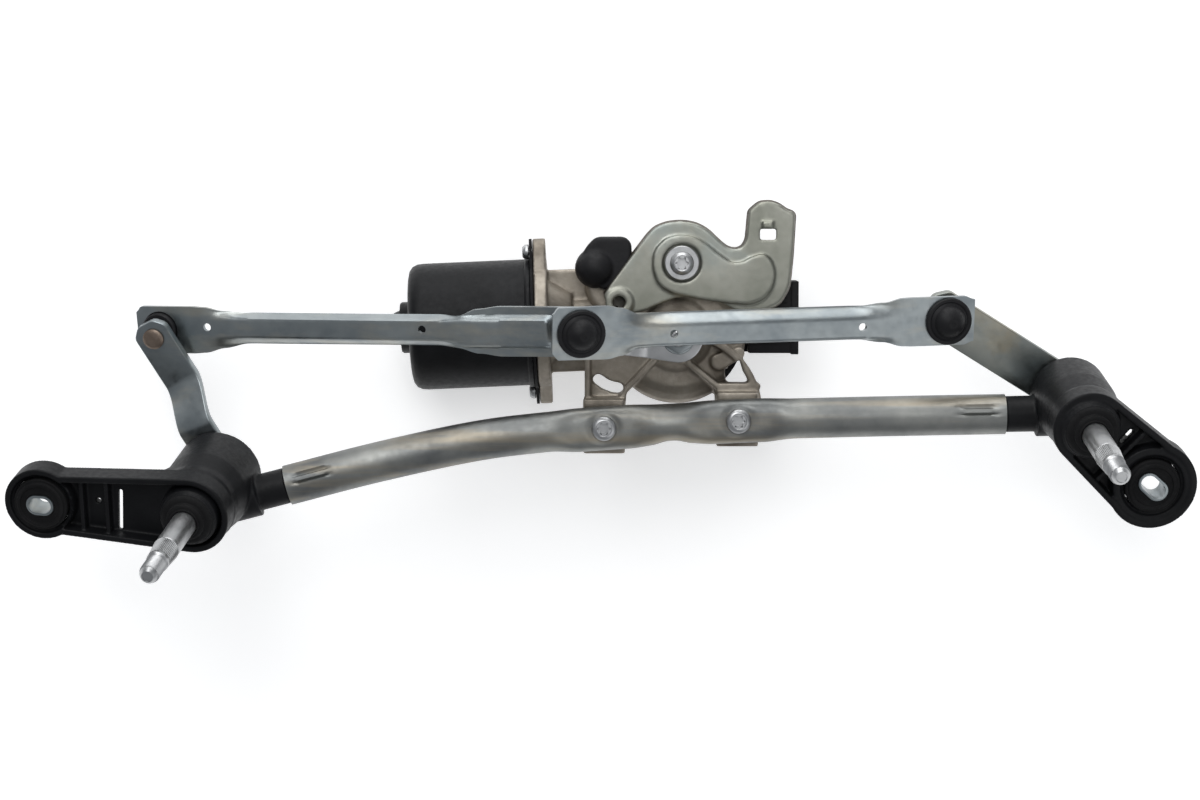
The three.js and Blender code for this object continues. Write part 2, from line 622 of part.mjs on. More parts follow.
// ---- gear housing ----
// The gear housing's flange and the motor's gasket have the same two lobes, each with a screw hole.
const flangeLobes = (from, to) => Object.values(canScrews).map(([x, y]) => (
  slab(belt(x, y, lobeRadius, 0, 0, canRadius - 6, 8), from, to)
));
const canScrewHoles = (from, to) => Object.values(canScrews).map(([x, y]) => (
  put(rod(canScrewRadius + restGap, from - 1, to + 1, 16), x, y, 0)
));

function gearHousing() {
  const idlerX = idlerCentre.x;
  const idlerY = idlerCentre.y;
  const base = coverThickness + restGap;
  const saddleTop = tubeHeight - tubeRadius + tubePress - restGap;
  const motorPiece = (shape) => moved(shape, alongMotor);
  const outside = [
    rod(bowlRadius, base, bowlTop - 4, 26),
    rod(bowlRadius, bowlTop - 4, bowlTop, 26, bowlRadius - 5),
    put(rod(idlerBowlRadius, base, bowlTop - 4, 16), idlerX, idlerY, 0),
    rod(neckOuter + 4, bowlTop - 1, bowlTop + 8, 20, neckOuter),
    rod(neckOuter, bowlTop + 8, neckTop, 18),
    motorPiece(rod(tunnelRadius, 10, flangeFront + 1, 16)),
    motorPiece(rod(neckFootRadius, flangeFront - 9, flangeFront + 1, 20, flangeFootRadius)),
    motorPiece(rod(canRadius + canRim, flangeFront, flangeBack, 26)),
    ...flangeLobes(flangeFront, flangeBack).map(motorPiece),
    block(-3, 3, 30, 44, 20, bracketHeight - restGap),
    put(rod(8, 20, bracketHeight - restGap, 16), ...bracketScrewAt, 0),
    put(rod(bracketRingRadius, 18, bracketHeight - restGap, 18), ...bracketRingAt, 0),
  ];
  // Two feet carry the tube on flat saddles.
  footScrewX.forEach((x, i) => {
    const y = footScrewY[i];
    outside.push(block(x - 10, x + 10, y - 14, y + 13, saddleTop - 6, saddleTop));
    outside.push(put(rod(9, 12, saddleTop - 2, 18), x, y + 4, 0));
    const web = [[x - 9, y + 2], [x + 9, y + 2], [x * 0.72 + 8, -14], [x * 0.72 - 8, -14]];
    outside.push(slab(web, 10, saddleTop - 4));
  });
  const inside = [
    rod(bowlRadius - castWall, -1, gearBottom + gearThickness + 1.5, 26),
    put(rod(14.6, -1, bowlTop - 7, 16), idlerX, idlerY, 0),
    motorPiece(rod(wormRadius + 1.6, 6, flangeBack + 1, 16)),
    rod(outputShaftRadius + 2.2 + restGap, gearBottom, neckTop + 1, 16),
    put(rod(2.5 + restGap, 0, bowlTop - 3.5, 18), idlerX, idlerY, 0),
    motorPiece(rod(8.3, flangeFront - 4, flangeBack + 1, 16)),
    put(rod(3, bracketHeight - 11, bracketHeight + 1, 16), ...bracketScrewAt, 0),
    ...canScrewHoles(flangeFront, flangeBack).map(motorPiece),
  ];
  footScrewX.forEach((x, i) => {
    inside.push(put(rod(footScrewRadius + restGap, 20, saddleTop + 1, 16), x, footScrewY[i], 0));
  });
  return cut(join(...outside), ...inside);
}

function buildGearbox() {
  add('gear_housing', gearHousing(), castAluminium);
  const plate = join(
    rod(bowlRadius, 0, coverThickness, 26),
    put(rod(idlerBowlRadius, 0, coverThickness, 16), idlerCentre.x, idlerCentre.y, 0),
    block(30, 52, connector.low, connector.high, 0, coverThickness),
  );
  const { left, right, low, high, wall, floor } = connector;
  const shell = block(left, right, low, high, 0, connector.top);
  const hollow = block(left + 10.5, right + 1, low + wall, high - wall, floor, connector.top + 3.5);
  add('gear_cover', cut(join(plate, shell), hollow), blackPlastic);
  for (let i = 0; i < 3; i += 1) {
    const y = low + 9 + i * 8;
    add(`connector_terminal_${i + 1}`, block(left + 10.8, right - 3, y, y + 2.8, 10, 11), copper);
  }
  const bush = ring(outputShaftRadius + 2.2, boreFor(outputShaftRadius), bowlTop - 10, neckTop - 1);
  add('output_bush', bush, bronze);
  const ball = put(new THREE.SphereGeometry(breatherRadius, 24, 16), ...breatherAt);
  const cap = join(ball, block(-46, -24, 36, 47, 24, 35));
  const neckFootRoom = rod(neckFootRadius + restGap, flangeFront - 9 - restGap, flangeFront, 20,
    flangeFootRadius + restGap);
  const clearOfCasting = [
    put(rod(idlerBowlRadius + restGap, 0, bowlTop - 4 + restGap, 16), idlerCentre.x, idlerCentre.y, 0),
    moved(rod(tunnelRadius + restGap, 5, flangeFront, 16), alongMotor),
    moved(neckFootRoom, alongMotor),
    moved(rod(canRadius + 2, flangeFront - restGap, canBack, 16), alongMotor),
    put(rod(bracketRingRadius + restGap, 10, 50, 18), ...bracketRingAt, 0),
  ];
  add('breather_cap', cut(cap, ...clearOfCasting), blackPlastic);
}

// A low button head with a shank below it, head underside at the given height.
function screw(shankRadius, headRadius, headHeight, length, seat) {
  return turned([
    [0, seat - length], [shankRadius - 0.5, seat - length], [shankRadius, seat - length + 1],
    [shankRadius, seat], [headRadius, seat], [headRadius, seat + headHeight * 0.45],
    [headRadius * 0.75, seat + headHeight], [0, seat + headHeight],
  ], 16);
}

// ---- motor ----
function buildMotor() {
  const motor = new THREE.Group();
  motor.applyMatrix4(alongMotor);
  wiper.add(motor);
  const inner = canRadius - canWall;
  const gasketFront = flangeBack + restGap;
  const gasketBack = canFront - restGap;
  const disc = rod(canRadius + canRim, gasketFront, gasketBack, 26);
  const gasket = join(disc, ...flangeLobes(gasketFront, gasketBack));
  const gasketBore = rod(canRadius - 7, flangeBack, canFront, 26);
  addTo(motor, 'motor_gasket', cut(gasket, gasketBore, ...canScrewHoles(gasketFront, gasketBack)), rubber);
  addTo(motor, 'motor_can', turned([
    [inner, canFront], [canRadius + canRim, canFront], [canRadius + canRim, canFront + 2],
    [canRadius, canFront + 2.6], [canRadius, canBack - 5], [canRadius - 1.5, canBack - 1.5],
    [canRadius - 5, canBack], [11, canBack],
    [10.4, canBack + 8], [8, canBack + 9], [0, canBack + 9], [0, canBack + 7.4], [8.8, canBack + 7.4],
    [8.8, canBack - canWall], [canRadius - 5, canBack - canWall], [inner, canBack - 5], [inner, canFront],
  ], 30), blackPaint);
  addTo(motor, 'rear_bearing', ring(8.5, boreFor(4), canBack - 1, canBack + 6), brightSteel);
  addTo(motor, 'front_bearing', ring(8, boreFor(4), flangeFront - 3.5, flangeBack - 1), brightSteel);
  const magnet = (start) => {
    const shape = new THREE.Shape();
    shape.absarc(0, 0, inner - restGap, start, start + 130 * degree, false);
    shape.absarc(0, 0, inner - 6, start + 130 * degree, start, true);
    const settings = { depth: 38, bevelEnabled: false, curveSegments: 14 };
    return new THREE.ExtrudeGeometry(shape, settings).translate(0, 0, canFront + 17);
  };
  addTo(motor, 'upper_magnet', magnet(-65 * degree), ferrite);
  addTo(motor, 'lower_magnet', magnet(115 * degree), ferrite);
  const plate = ring(inner - restGap, 11, canFront + 1, canFront + 4, 26);
  addTo(motor, 'brush_plate', plate, greyPlastic);
  addTo(motor, 'upper_brush', block(8.4, 17, -3, 3, canFront + 4.4, canFront + 10), ferrite);
  addTo(motor, 'lower_brush', block(-17, -8.4, -3, 3, canFront + 4.4, canFront + 10), ferrite);
  for (const [name, [x, y]] of Object.entries(canScrews)) {
    const fixing = screw(canScrewRadius, canScrewHead, 3.2, 7.5, canFront);
    addTo(motor, `${name}_can_screw`, put(fixing, x, y, 0), brightSteel);
  }

  // Armature: a two-start worm on the shaft's front end, then the commutator and the laminated core.
  const wormStart = 15;
  const wormEnd = 44;
  addTo(motor, 'armature_shaft', turned([
    [0, wormStart - 3], [3, wormStart - 3], [3, wormStart], [wormRadius, wormStart + 1],
    [wormRadius, wormEnd - 1], [4, wormEnd], [4, canBack + 5], [0, canBack + 5],
  ], 16), brightSteel);
  addTo(motor, 'commutator', ring(8, boreFor(4), canFront + 2, canFront + 13), copper);
  const core = ring(inner - 7.2, boreFor(4), canFront + 18, canFront + 54);
  const slots = [];
  for (let i = 0; i < 8; i += 1) {
    const slot = block(12, 30, -1.6, 1.6, canFront + 17, canFront + 55);
    slots.push(slot.rotateZ((i / 8) * 2 * Math.PI));
  }
  addTo(motor, 'armature_core', cut(core, ...slots), zincSteel);
}

// ---- bracket and screws ----
function bracketOutline() {
  const points = [];
  for (let i = 0; i <= 10; i += 1) {
    const angle = 25 * degree + (115 * degree * i) / 10;
    points.push([bracketScrewAt[0] + 20 * Math.cos(angle), bracketScrewAt[1] + 20 * Math.sin(angle)]);
  }
  points.push([-36, 19], [-33, 13.5], [-12, 12.6]);
  for (let i = 0; i <= 6; i += 1) {
    const angle = 140 * degree - (100 * degree * i) / 6;
    points.push([8 + 24 * Math.cos(angle), -1 + 20 * Math.sin(angle)]);
  }
  points.push([33, 12.6]);
  for (let i = 0; i <= 5; i += 1) {
    const angle = -90 * degree + (90 * degree * i) / 5;
    points.push([42.5 + 12 * Math.cos(angle), 24.8 + 12 * Math.sin(angle)]);
  }
  points.push([58, 59.6], [53.6, 61.5], [52, 64], [39.7, 63.6], [36.2, 62], [33.5, 44], [28, 42.5]);
  return points;
}

function motorBracket() {
  const top = bracketHeight + bracketSheet;
  const plate = slab(bracketOutline(), bracketHeight, top);
  const inner = slab(bracketOutline().map(([x, y]) => [8 + (x - 8) * 0.93, 32 + (y - 32) * 0.92]), 0, 60);
  const openSide = block(-60, 60, -20, 17, 0, 60);
  const edge = cut(slab(bracketOutline(), bracketHeight - 5, bracketHeight + 0.2), inner, openSide);
  const holes = [
    put(rod(3.4, 0, 60, 18), ...bracketScrewAt, 0),
    put(rod(3, 0, 60, 16), ...bracketRingAt, 0),
    block(...tabHole, 0, 60),
  ];
  return cut(join(plate, edge), ...holes);
}

function buildBracket() {
  const top = bracketHeight + bracketSheet;
  const clear = [
    put(rod(8 + restGap, 0, bracketHeight - 0.1, 16), ...bracketScrewAt, 0),
    put(rod(bracketRingRadius + restGap, 0, bracketHeight - 0.1, 18), ...bracketRingAt, 0),
    put(rod(bowlRadius + restGap, 0, bowlTop + 0.3, 26), 0, 0, 0),
    put(rod(idlerBowlRadius + restGap, 0, bowlTop, 16), idlerCentre.x, idlerCentre.y, 0),
  ];
  add('motor_bracket', cut(motorBracket(), ...clear), bracketSteel);
  add('bracket_washer', put(ring(8.6, 3.3, top + restGap, top + 1.8, 16), ...bracketScrewAt, 0), brightSteel);
  add('bracket_screw', put(screw(2.9, 6, 4, 14, top + 1.8 + restGap), ...bracketScrewAt, 0), brightSteel);
  const pressed = tubeHeight + tubeRadius - tubePress + restGap;
  ['left', 'right'].forEach((name, i) => {
    const fixing = screw(footScrewRadius - 0.1, 6, 3.6, 26, pressed);
    add(`${name}_tube_screw`, put(fixing, footScrewX[i], footScrewY[i], 0), brightSteel);
  });
}

add('frame_tube', frameTube(), tubeSteel);
for (const pivot of [leftPivot, rightPivot]) {
  const side = buildPivot(pivot);
  buildLever(pivot, side);
}
buildLink('left', leftLink, lowerBall, leftBall);
buildLink('right', rightLink, upperBall, rightBall);
buildCrank();
buildGearbox();
buildMotor();
buildBracket();

export default wiper;
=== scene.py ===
import bmesh
import bpy
import math
from mathutils import Matrix, Vector


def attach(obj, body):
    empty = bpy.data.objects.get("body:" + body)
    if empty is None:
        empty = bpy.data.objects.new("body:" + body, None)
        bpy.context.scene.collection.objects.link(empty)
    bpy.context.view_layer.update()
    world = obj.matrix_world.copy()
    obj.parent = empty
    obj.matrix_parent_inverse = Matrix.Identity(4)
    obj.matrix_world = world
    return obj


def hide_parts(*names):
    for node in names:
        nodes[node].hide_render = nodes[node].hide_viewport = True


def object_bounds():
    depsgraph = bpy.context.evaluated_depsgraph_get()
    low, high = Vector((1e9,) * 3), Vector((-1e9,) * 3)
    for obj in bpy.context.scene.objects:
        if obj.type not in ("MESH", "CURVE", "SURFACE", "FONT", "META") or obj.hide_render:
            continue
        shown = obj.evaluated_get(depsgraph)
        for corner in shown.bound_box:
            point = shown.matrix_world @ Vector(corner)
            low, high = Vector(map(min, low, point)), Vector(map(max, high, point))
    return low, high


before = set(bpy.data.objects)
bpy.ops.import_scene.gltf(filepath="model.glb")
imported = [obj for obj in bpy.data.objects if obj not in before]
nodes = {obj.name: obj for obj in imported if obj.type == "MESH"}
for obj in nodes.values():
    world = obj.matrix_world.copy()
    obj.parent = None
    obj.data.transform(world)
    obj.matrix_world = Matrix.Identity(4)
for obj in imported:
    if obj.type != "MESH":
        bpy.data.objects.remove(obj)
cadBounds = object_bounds()
scene = bpy.context.scene
mm = 0.001
upright = Matrix.Identity(4)
print("frame loaded:", len(nodes), "nodes")

# Camera
view = {"target": (-0.03858, -0.03221, 0.040), "distance": 1.5, "tilt": 4, "lens": 90, "sensor": 36}
tilt = math.radians(view["tilt"])
cameraData = bpy.data.cameras.new("camera")
cameraData.lens = view["lens"]
cameraData.sensor_width = view["sensor"]
camera = bpy.data.objects.new("camera", cameraData)
camera.location = Vector(view["target"]) + view["distance"] * Vector((0, math.sin(tilt), math.cos(tilt)))
camera.rotation_euler = (-tilt, 0, 0)
scene.collection.objects.link(camera)
scene.camera = camera

# Where things are, in millimetres
tubeRoute = [(-194, -74), (-148, -62.2), (-98, -51.6), (-68, -47.8), (-36.6, -45.2),
             (-3, -43.3), (30, -41.6), (90, -39.9), (162.4, -38.5)]
tube = {"radius": 10, "wall": 1.5, "height": 50, "stations": 210, "sides": 72,
        "screws": [(-36.6, -45.2), (30, -41.6)], "screwHole": 3.4, "press": 2.6, "pressLength": (12, 28),
        "spread": 1.3, "upperSpread": .4, "flattening": .55, "dish": .9, "dishLength": (6.4, 9.5),
        "pinch": 1.5, "pinchAt": -3.3, "pinchLength": (1, 10), "grooveAngles": (63, 85),
        "grooveHalf": 5.5, "grooveDepth": 1.1, "grooveFrom": 4.5, "grooveTo": 22.5}
pivots = {
    "left": {"at": (-228.32, -66.71, 34.47), "lean": (-0.1694, -0.3255), "heading": 120.743,
             "leverRadius": 71.94, "thick": 4.4, "width": 18.5, "step": 16, "ballDrop": -26.5,
             "drum": 21.5, "eye": (38.5, 64.5), "eyeRadius": 18.5, "hole": 5.7,
             "leverFinish": "zinc_steel"},
    "right": {"at": (195.18, -28.06, 36.28), "lean": (0.0602, -0.2577), "heading": 148.242,
              "leverRadius": 75.86, "thick": 4.4, "width": 23, "step": 0, "ballDrop": 10.5,
              "drum": 19.5, "eye": (-43.1, 7.5), "eyeRadius": 22, "hole": 7, "leverFinish": "yellow_zinc"},
}
spindleFacts = {"collarTop": 64, "reach": 60, "radius": 6.2, "thread": 4.9, "pitch": 1.25}
crank = {"radius": 48, "angle": 175, "hub": 61.5, "step": 6, "thick": 4, "low": 87, "high": 103}
motor = {"y": 8.8, "height": 13, "turn": 2.5, "lobe": 6.5, "gasket": (71.3, 72.7), "canFront": 73,
         "screws": {"upper": (10.02, 35.89), "lower": (-10.02, -35.89)}, "screwHead": 3.75}
idlerPlace = (-28.758, 25.562)
clampAt = (2.3, 36.2)       # the bracket's screw
ringAt = (-29, 16.5)        # the bracket's locating hole


def shift(x=0, y=0, z=0):
    return Matrix.Translation((x, y, z))


def frameOf(origin, xHint, zHint):
    x = Vector(xHint).normalized()
    z = Vector(zHint)
    z = (z - x * z.dot(x)).normalized()
    turned = Matrix((x, z.cross(x), z)).transposed().to_4x4()
    turned.translation = origin
    return turned


def pivotFrame(pivot):
    leanX, leanY = pivot["lean"]
    axis = Vector((leanX, leanY, math.sqrt(1 - leanX ** 2 - leanY ** 2)))
    headX, headY = (f(math.radians(pivot["heading"])) for f in (math.cos, math.sin))
    return frameOf(pivot["at"], (headX, headY, -(axis.x * headX + axis.y * headY) / axis.z), axis)


pivotFrames = {side: pivotFrame(pivot) for side, pivot in pivots.items()}
crankTurn = Matrix.Rotation(math.radians(crank["angle"]), 4, "Z")
crankPin = crankTurn @ Vector((crank["radius"], 0, 0))
lowerBall = Vector((crankPin.x, crankPin.y, crank["low"]))
upperBall = Vector((crankPin.x, crankPin.y, crank["high"]))
leftBall, rightBall = (pivotFrames[side] @ Vector((pivot["leverRadius"], 0, pivot["ballDrop"]))
                       for side, pivot in pivots.items())
motorTurn = Matrix.Rotation(math.radians(motor["turn"]), 4, "Z")
motorFrame = shift(0, motor["y"], motor["height"]) @ motorTurn
alongMotor = motorFrame @ Matrix.Rotation(-math.pi / 2, 4, "Y")


def linkFrame(start, end):
    lean = math.radians(10)
    return frameOf(start, end - start, (0, -math.sin(lean), math.cos(lean)))


# Shader groups
def newGroup(name, inputs, outputs):
    group = bpy.data.node_groups.new(name, "ShaderNodeTree")
    for socketName, kind, value in inputs:
        socket = group.interface.new_socket(socketName, in_out="INPUT", socket_type=kind)
        if value is not None:
            socket.default_value = value
    for socketName, kind in outputs:
        group.interface.new_socket(socketName, in_out="OUTPUT", socket_type=kind)
    return group, group.nodes.new("NodeGroupInput"), group.nodes.new("NodeGroupOutput")


number, colour, vector = "NodeSocketFloat", "NodeSocketColor", "NodeSocketVector"


def noiseIn(tree, coordinates, scale, detail=4.0, roughness=0.55):
    noise = tree.nodes.new("ShaderNodeTexNoise")
    noise.inputs["Detail"].default_value = detail
    noise.inputs["Roughness"].default_value = roughness
    tree.links.new(coordinates, noise.inputs["Vector"])
    if isinstance(scale, (int, float)):
        noise.inputs["Scale"].default_value = scale
    else:
        tree.links.new(scale, noise.inputs["Scale"])
    return noise.outputs["Fac"]


def rangeIn(tree, value, low, high, outLow=0.0, outHigh=1.0):
    node = tree.nodes.new("ShaderNodeMapRange")
    tree.links.new(value, node.inputs["Value"])
    ends = {"From Min": low, "From Max": high, "To Min": outLow, "To Max": outHigh}
    for socketName, setting in ends.items():
        if isinstance(setting, (int, float)):
            node.inputs[socketName].default_value = setting
        else:
            tree.links.new(setting, node.inputs[socketName])
    return node.outputs["Result"]


def mixIn(tree, factor, first, second, blend="MIX"):
    node = tree.nodes.new("ShaderNodeMix")
    node.data_type = "RGBA"
    node.blend_type = blend
    for place, setting in ((0, factor), (6, first), (7, second)):
        if isinstance(setting, bpy.types.NodeSocket):
            tree.links.new(setting, node.inputs[place])
        else:
            node.inputs[place].default_value = setting if place == 0 else (*setting, 1)
    return node.outputs[2]


def sumIn(tree, first, second, operation="ADD"):
    node = tree.nodes.new("ShaderNodeMath")
    node.operation = operation
    for place, setting in ((0, first), (1, second)):
        if isinstance(setting, (int, float)):
            node.inputs[place].default_value = setting
        else:
            tree.links.new(setting, node.inputs[place])
    return node.outputs[0]


def makeMottle():
    group, given, out = newGroup("mottle", [("Vector", vector, None), ("Scale", number, 60.0),
                                            ("Low", number, 0.35), ("High", number, 0.65),
                                            ("Dark", colour, None), ("Light", colour, None)],
                                 [("Color", colour)])
    mask = rangeIn(group, noiseIn(group, given.outputs["Vector"], given.outputs["Scale"]),
                   given.outputs["Low"], given.outputs["High"])
    group.links.new(mixIn(group, mask, given.outputs["Dark"], given.outputs["Light"]), out.inputs["Color"])
    return group


def makeStreak():
    group, given, out = newGroup("streak", [("Vector", vector, None), ("Scale", number, 60.0),
                                            ("Stretch", vector, (1, 1, 1)), ("Low", number, 0.45),
                                            ("High", number, 0.7)],
                                 [("Mask", number)])
    stretched = group.nodes.new("ShaderNodeVectorMath")
    stretched.operation = "MULTIPLY"
    group.links.new(given.outputs["Vector"], stretched.inputs[0])
    group.links.new(given.outputs["Stretch"], stretched.inputs[1])
    mask = rangeIn(group, noiseIn(group, stretched.outputs[0], given.outputs["Scale"], 6.0, 0.6),
                   given.outputs["Low"], given.outputs["High"])
    group.links.new(mask, out.inputs["Mask"])
    return group


def makeGrain():
    group, given, out = newGroup("grain", [("Vector", vector, None), ("Fine", number, 1500.0),
                                           ("Coarse", number, 220.0), ("Coarse Share", number, 0.5)],
                                 [("Height", number), ("Mask", number)])
    fine = noiseIn(group, given.outputs["Vector"], given.outputs["Fine"], 3.0, 0.6)
    coarse = noiseIn(group, given.outputs["Vector"], given.outputs["Coarse"], 3.0, 0.5)
    group.links.new(sumIn(group, fine, sumIn(group, coarse, given.outputs["Coarse Share"], "MULTIPLY")),
                    out.inputs["Height"])
    group.links.new(coarse, out.inputs["Mask"])
    return group


def makeEdgeWear():
    group, given, out = newGroup("edgeWear", [("Vector", vector, None), ("Start", number, 0.52),
                                              ("Full", number, 0.6), ("Break Up", number, 300.0)],
                                 [("Mask", number)])
    geometry = group.nodes.new("ShaderNodeNewGeometry")
    edges = rangeIn(group, geometry.outputs["Pointiness"], given.outputs["Start"], given.outputs["Full"])
    patches = rangeIn(group, noiseIn(group, given.outputs["Vector"], given.outputs["Break Up"]), 0.4, 0.6)
    group.links.new(sumIn(group, edges, patches, "MULTIPLY"), out.inputs["Mask"])
    return group


groups = {"mottle": makeMottle(), "streak": makeStreak(), "grain": makeGrain(), "edgeWear": makeEdgeWear()}


def useGroup(tree, name, settings, coordinates):
    node = tree.nodes.new("ShaderNodeGroup")
    node.node_tree = groups[name]
    tree.links.new(coordinates, node.inputs["Vector"])
    for socketName, value in settings.items():
        node.inputs[socketName].default_value = (*value, 1) if socketName in ("Dark", "Light") else value
    return node


# Materials
plainFinish = {"metal": 1, "bump": .5, "fine": 2200, "coarse": 500, "depth": .0001}
finishes = {
    "cast_aluminium": {"dark": (.205, .18, .148), "light": (.365, .33, .28), "patch": 55, "metal": .75,
                       "rough": (.42, .6), "bump": .30, "depth": .0003, "fine": 1500,
                       "wear": (.56, .52, .46), "stain": (.10, .08, .062), "stainScale": (20, 20, 20)},
    "zinc_steel": {"dark": (.215, .243, .258), "light": (.345, .374, .38), "patch": 38,
                   "rough": (.29, .42), "depth": .00006, "fine": 1800, "coarse": 260,
                   "stain": (.43, .415, .36), "stainScale": (9, 60, 60)},
    "yellow_zinc": {"dark": (.19, .215, .215), "light": (.31, .31, .275), "patch": 30, "rough": (.3, .42),
                    "depth": .00006, "fine": 1800, "coarse": 260, "stain": (.30, .245, .15),
                    "stainScale": (22, 22, 22)},
    "tube_steel": {"dark": (.15, .157, .158), "light": (.285, .29, .275), "patch": 30,
                   "rough": (.40, .52), "depth": .00008, "fine": 1600, "coarse": 300,
                   "stain": (.30, .265, .205), "stainScale": (6, 130, 80)},
    "bright_steel": {"dark": (.36, .365, .37), "light": (.49, .495, .50), "patch": 90, "rough": (.3, .4),
                     "bump": .12, "depth": .00004, "fine": 2600},
    "black_paint": {"dark": (.005, .0053, .006), "light": (.009, .0093, .0105), "patch": 70, "metal": 0,
                    "rough": (.38, .52), "bump": .4, "depth": .00012, "fine": 1300, "coarse": 420,
                    "wear": (.022, .022, .024), "specular": .14},
    "black_plastic": {"dark": (.007, .007, .008), "light": (.0125, .0125, .014), "patch": 60, "metal": 0,
                      "rough": (.42, .56), "bump": .4, "coarse": 600, "specular": .2},
    "grey_plastic": {"dark": (.04, .04, .042), "light": (.06, .06, .062), "patch": 60, "metal": 0,
                     "rough": (.45, .6), "bump": .4, "coarse": 600},
    "white_plastic": {"dark": (.62, .59, .5), "light": (.74, .71, .63), "patch": 60, "metal": 0,
                      "rough": (.35, .5), "bump": .3, "depth": .00008, "coarse": 600},
    "rubber": {"dark": (.0055, .0055, .006), "light": (.010, .010, .0105), "patch": 90, "metal": 0,
               "rough": (.62, .8), "depth": .00012, "fine": 2400, "coarse": 700, "specular": .14},
    "bronze": {"dark": (.27, .17, .07), "light": (.38, .25, .11), "patch": 200, "rough": (.4, .55),
               "fine": 3000, "coarse": 900},
    "copper": {"dark": (.52, .24, .13), "light": (.66, .33, .19), "patch": 120, "rough": (.25, .4),
               "bump": .4, "depth": .00006, "fine": 2600, "coarse": 600},
    "ferrite": {"dark": (.02, .02, .022), "light": (.04, .04, .042), "patch": 200, "metal": .2,
                "rough": (.55, .7), "fine": 3000, "coarse": 900},
    "bracket_steel": {"dark": (.235, .24, .205), "light": (.34, .34, .30), "patch": 34, "metal": .95,
                      "rough": (.34, .48), "depth": .00007, "fine": 1700, "coarse": 300,
                      "stain": (.275, .305, .29), "stainScale": (30, 30, 30), "wear": (.50, .50, .46)},
    # Painted shade: a dark brown steel for the bracket's folded rim, standing in for the shade on it.
    "rim_shade_steel": {"dark": (.075, .066, .056), "light": (.15, .133, .112), "patch": 120, "metal": .9,
                  "rough": (.42, .56), "fine": 1900},
    "rivet_steel": {"dark": (.16, .12, .095), "light": (.27, .215, .175), "patch": 160, "metal": .9,
                    "rough": (.4, .55), "coarse": 700},
}


def makeMaterial(name, look):
    material = bpy.data.materials.new(name)
    material.use_nodes = True
    tree = material.node_tree
    shader = tree.nodes["Principled BSDF"]
    coordinates = tree.nodes.new("ShaderNodeTexCoord").outputs["Object"]
    patches = {"Scale": look["patch"], "Low": .32, "High": .68, "Dark": look["dark"], "Light": look["light"]}
    base = useGroup(tree, "mottle", patches, coordinates).outputs["Color"]
    if "stain" in look:
        streaks = {"Scale": 1.0, "Stretch": look["stainScale"], "Low": .5, "High": .74}
        mask = useGroup(tree, "streak", streaks, coordinates).outputs["Mask"]
        base = mixIn(tree, mask, base, look["stain"])
    if "wear" in look:
        mask = useGroup(tree, "edgeWear", {"Start": .53, "Full": .62}, coordinates).outputs["Mask"]
        base = mixIn(tree, mask, base, look["wear"])
    tree.links.new(base, shader.inputs["Base Color"])
    grain = useGroup(tree, "grain", {"Fine": look["fine"], "Coarse": look["coarse"], "Coarse Share": .8},
                     coordinates)
    tree.links.new(rangeIn(tree, grain.outputs["Mask"], .3, .7, *look["rough"]), shader.inputs["Roughness"])
    bump = tree.nodes.new("ShaderNodeBump")
    bump.inputs["Strength"].default_value = look["bump"]
    bump.inputs["Distance"].default_value = look["depth"]
    tree.links.new(grain.outputs["Height"], bump.inputs["Height"])
    tree.links.new(bump.outputs["Normal"], shader.inputs["Normal"])
    shader.inputs["Metallic"].default_value = look["metal"]
    shader.inputs["Specular IOR Level"].default_value = look.get("specular", .5)
    return material


materials = {name: makeMaterial(name, {**plainFinish, **look}) for name, look in finishes.items()}
slotOf = {}
for nodeName, nodeObject in nodes.items():
    for place in nodeObject.material_slots:
        slotOf[nodeName] = place.material.name.split(".")[0]
        if slotOf[nodeName] in materials:
            place.material = materials[slotOf[nodeName]]
print("materials:", sorted(set(slotOf.values())))


# Shapes, in millimetres
def placed(shape, place):
    bmesh.ops.transform(shape, matrix=place, verts=shape.verts)
    return shape


def gathered(*shapes):
    whole = bmesh.new()
    for shape in shapes:
        mesh = bpy.data.meshes.new("part")
        shape.to_mesh(mesh)
        whole.from_mesh(mesh)
        bpy.data.meshes.remove(mesh)
        shape.free()
    return whole


def tidied(shape):
    bmesh.ops.remove_doubles(shape, verts=shape.verts, dist=1e-4)
    bmesh.ops.dissolve_degenerate(shape, edges=shape.edges, dist=1e-5)
    bmesh.ops.recalc_face_normals(shape, faces=shape.faces)
    return shape


def turnedShape(profile, steps=56, place=upright):
    shape = bmesh.new()
    points = [shape.verts.new((radius, 0, height)) for radius, height in profile]
    edges = [shape.edges.new(pair) for pair in zip(points, points[1:])]
    bmesh.ops.spin(shape, geom=points + edges, cent=(0, 0, 0), axis=(0, 0, 1), angle=2 * math.pi,
                   steps=steps, use_merge=True)
    return placed(tidied(shape), place)


def rod(radius, low, high, top=None, steps=48, place=upright):
    shape = bmesh.new()
    bmesh.ops.create_cone(shape, cap_ends=True, segments=steps, radius1=radius,
                          radius2=radius if top is None else top, depth=high - low)
    return placed(shape, place @ shift(0, 0, (low + high) / 2))


def bar(start, end, radius, steps=40):
    start, end = Vector(start), Vector(end)
    turn = Vector((0, 0, 1)).rotation_difference(end - start).to_matrix().to_4x4()
    return rod(radius, 0, (end - start).length, steps=steps, place=Matrix.Translation(start) @ turn)


def block(x0, x1, y0, y1, z0, z1, place=upright):
    shape = bmesh.new()
    bmesh.ops.create_cube(shape, size=1)
    size = Matrix.Diagonal((x1 - x0, y1 - y0, z1 - z0, 1))
    return placed(shape, place @ shift((x0 + x1) / 2, (y0 + y1) / 2, (z0 + z1) / 2) @ size)


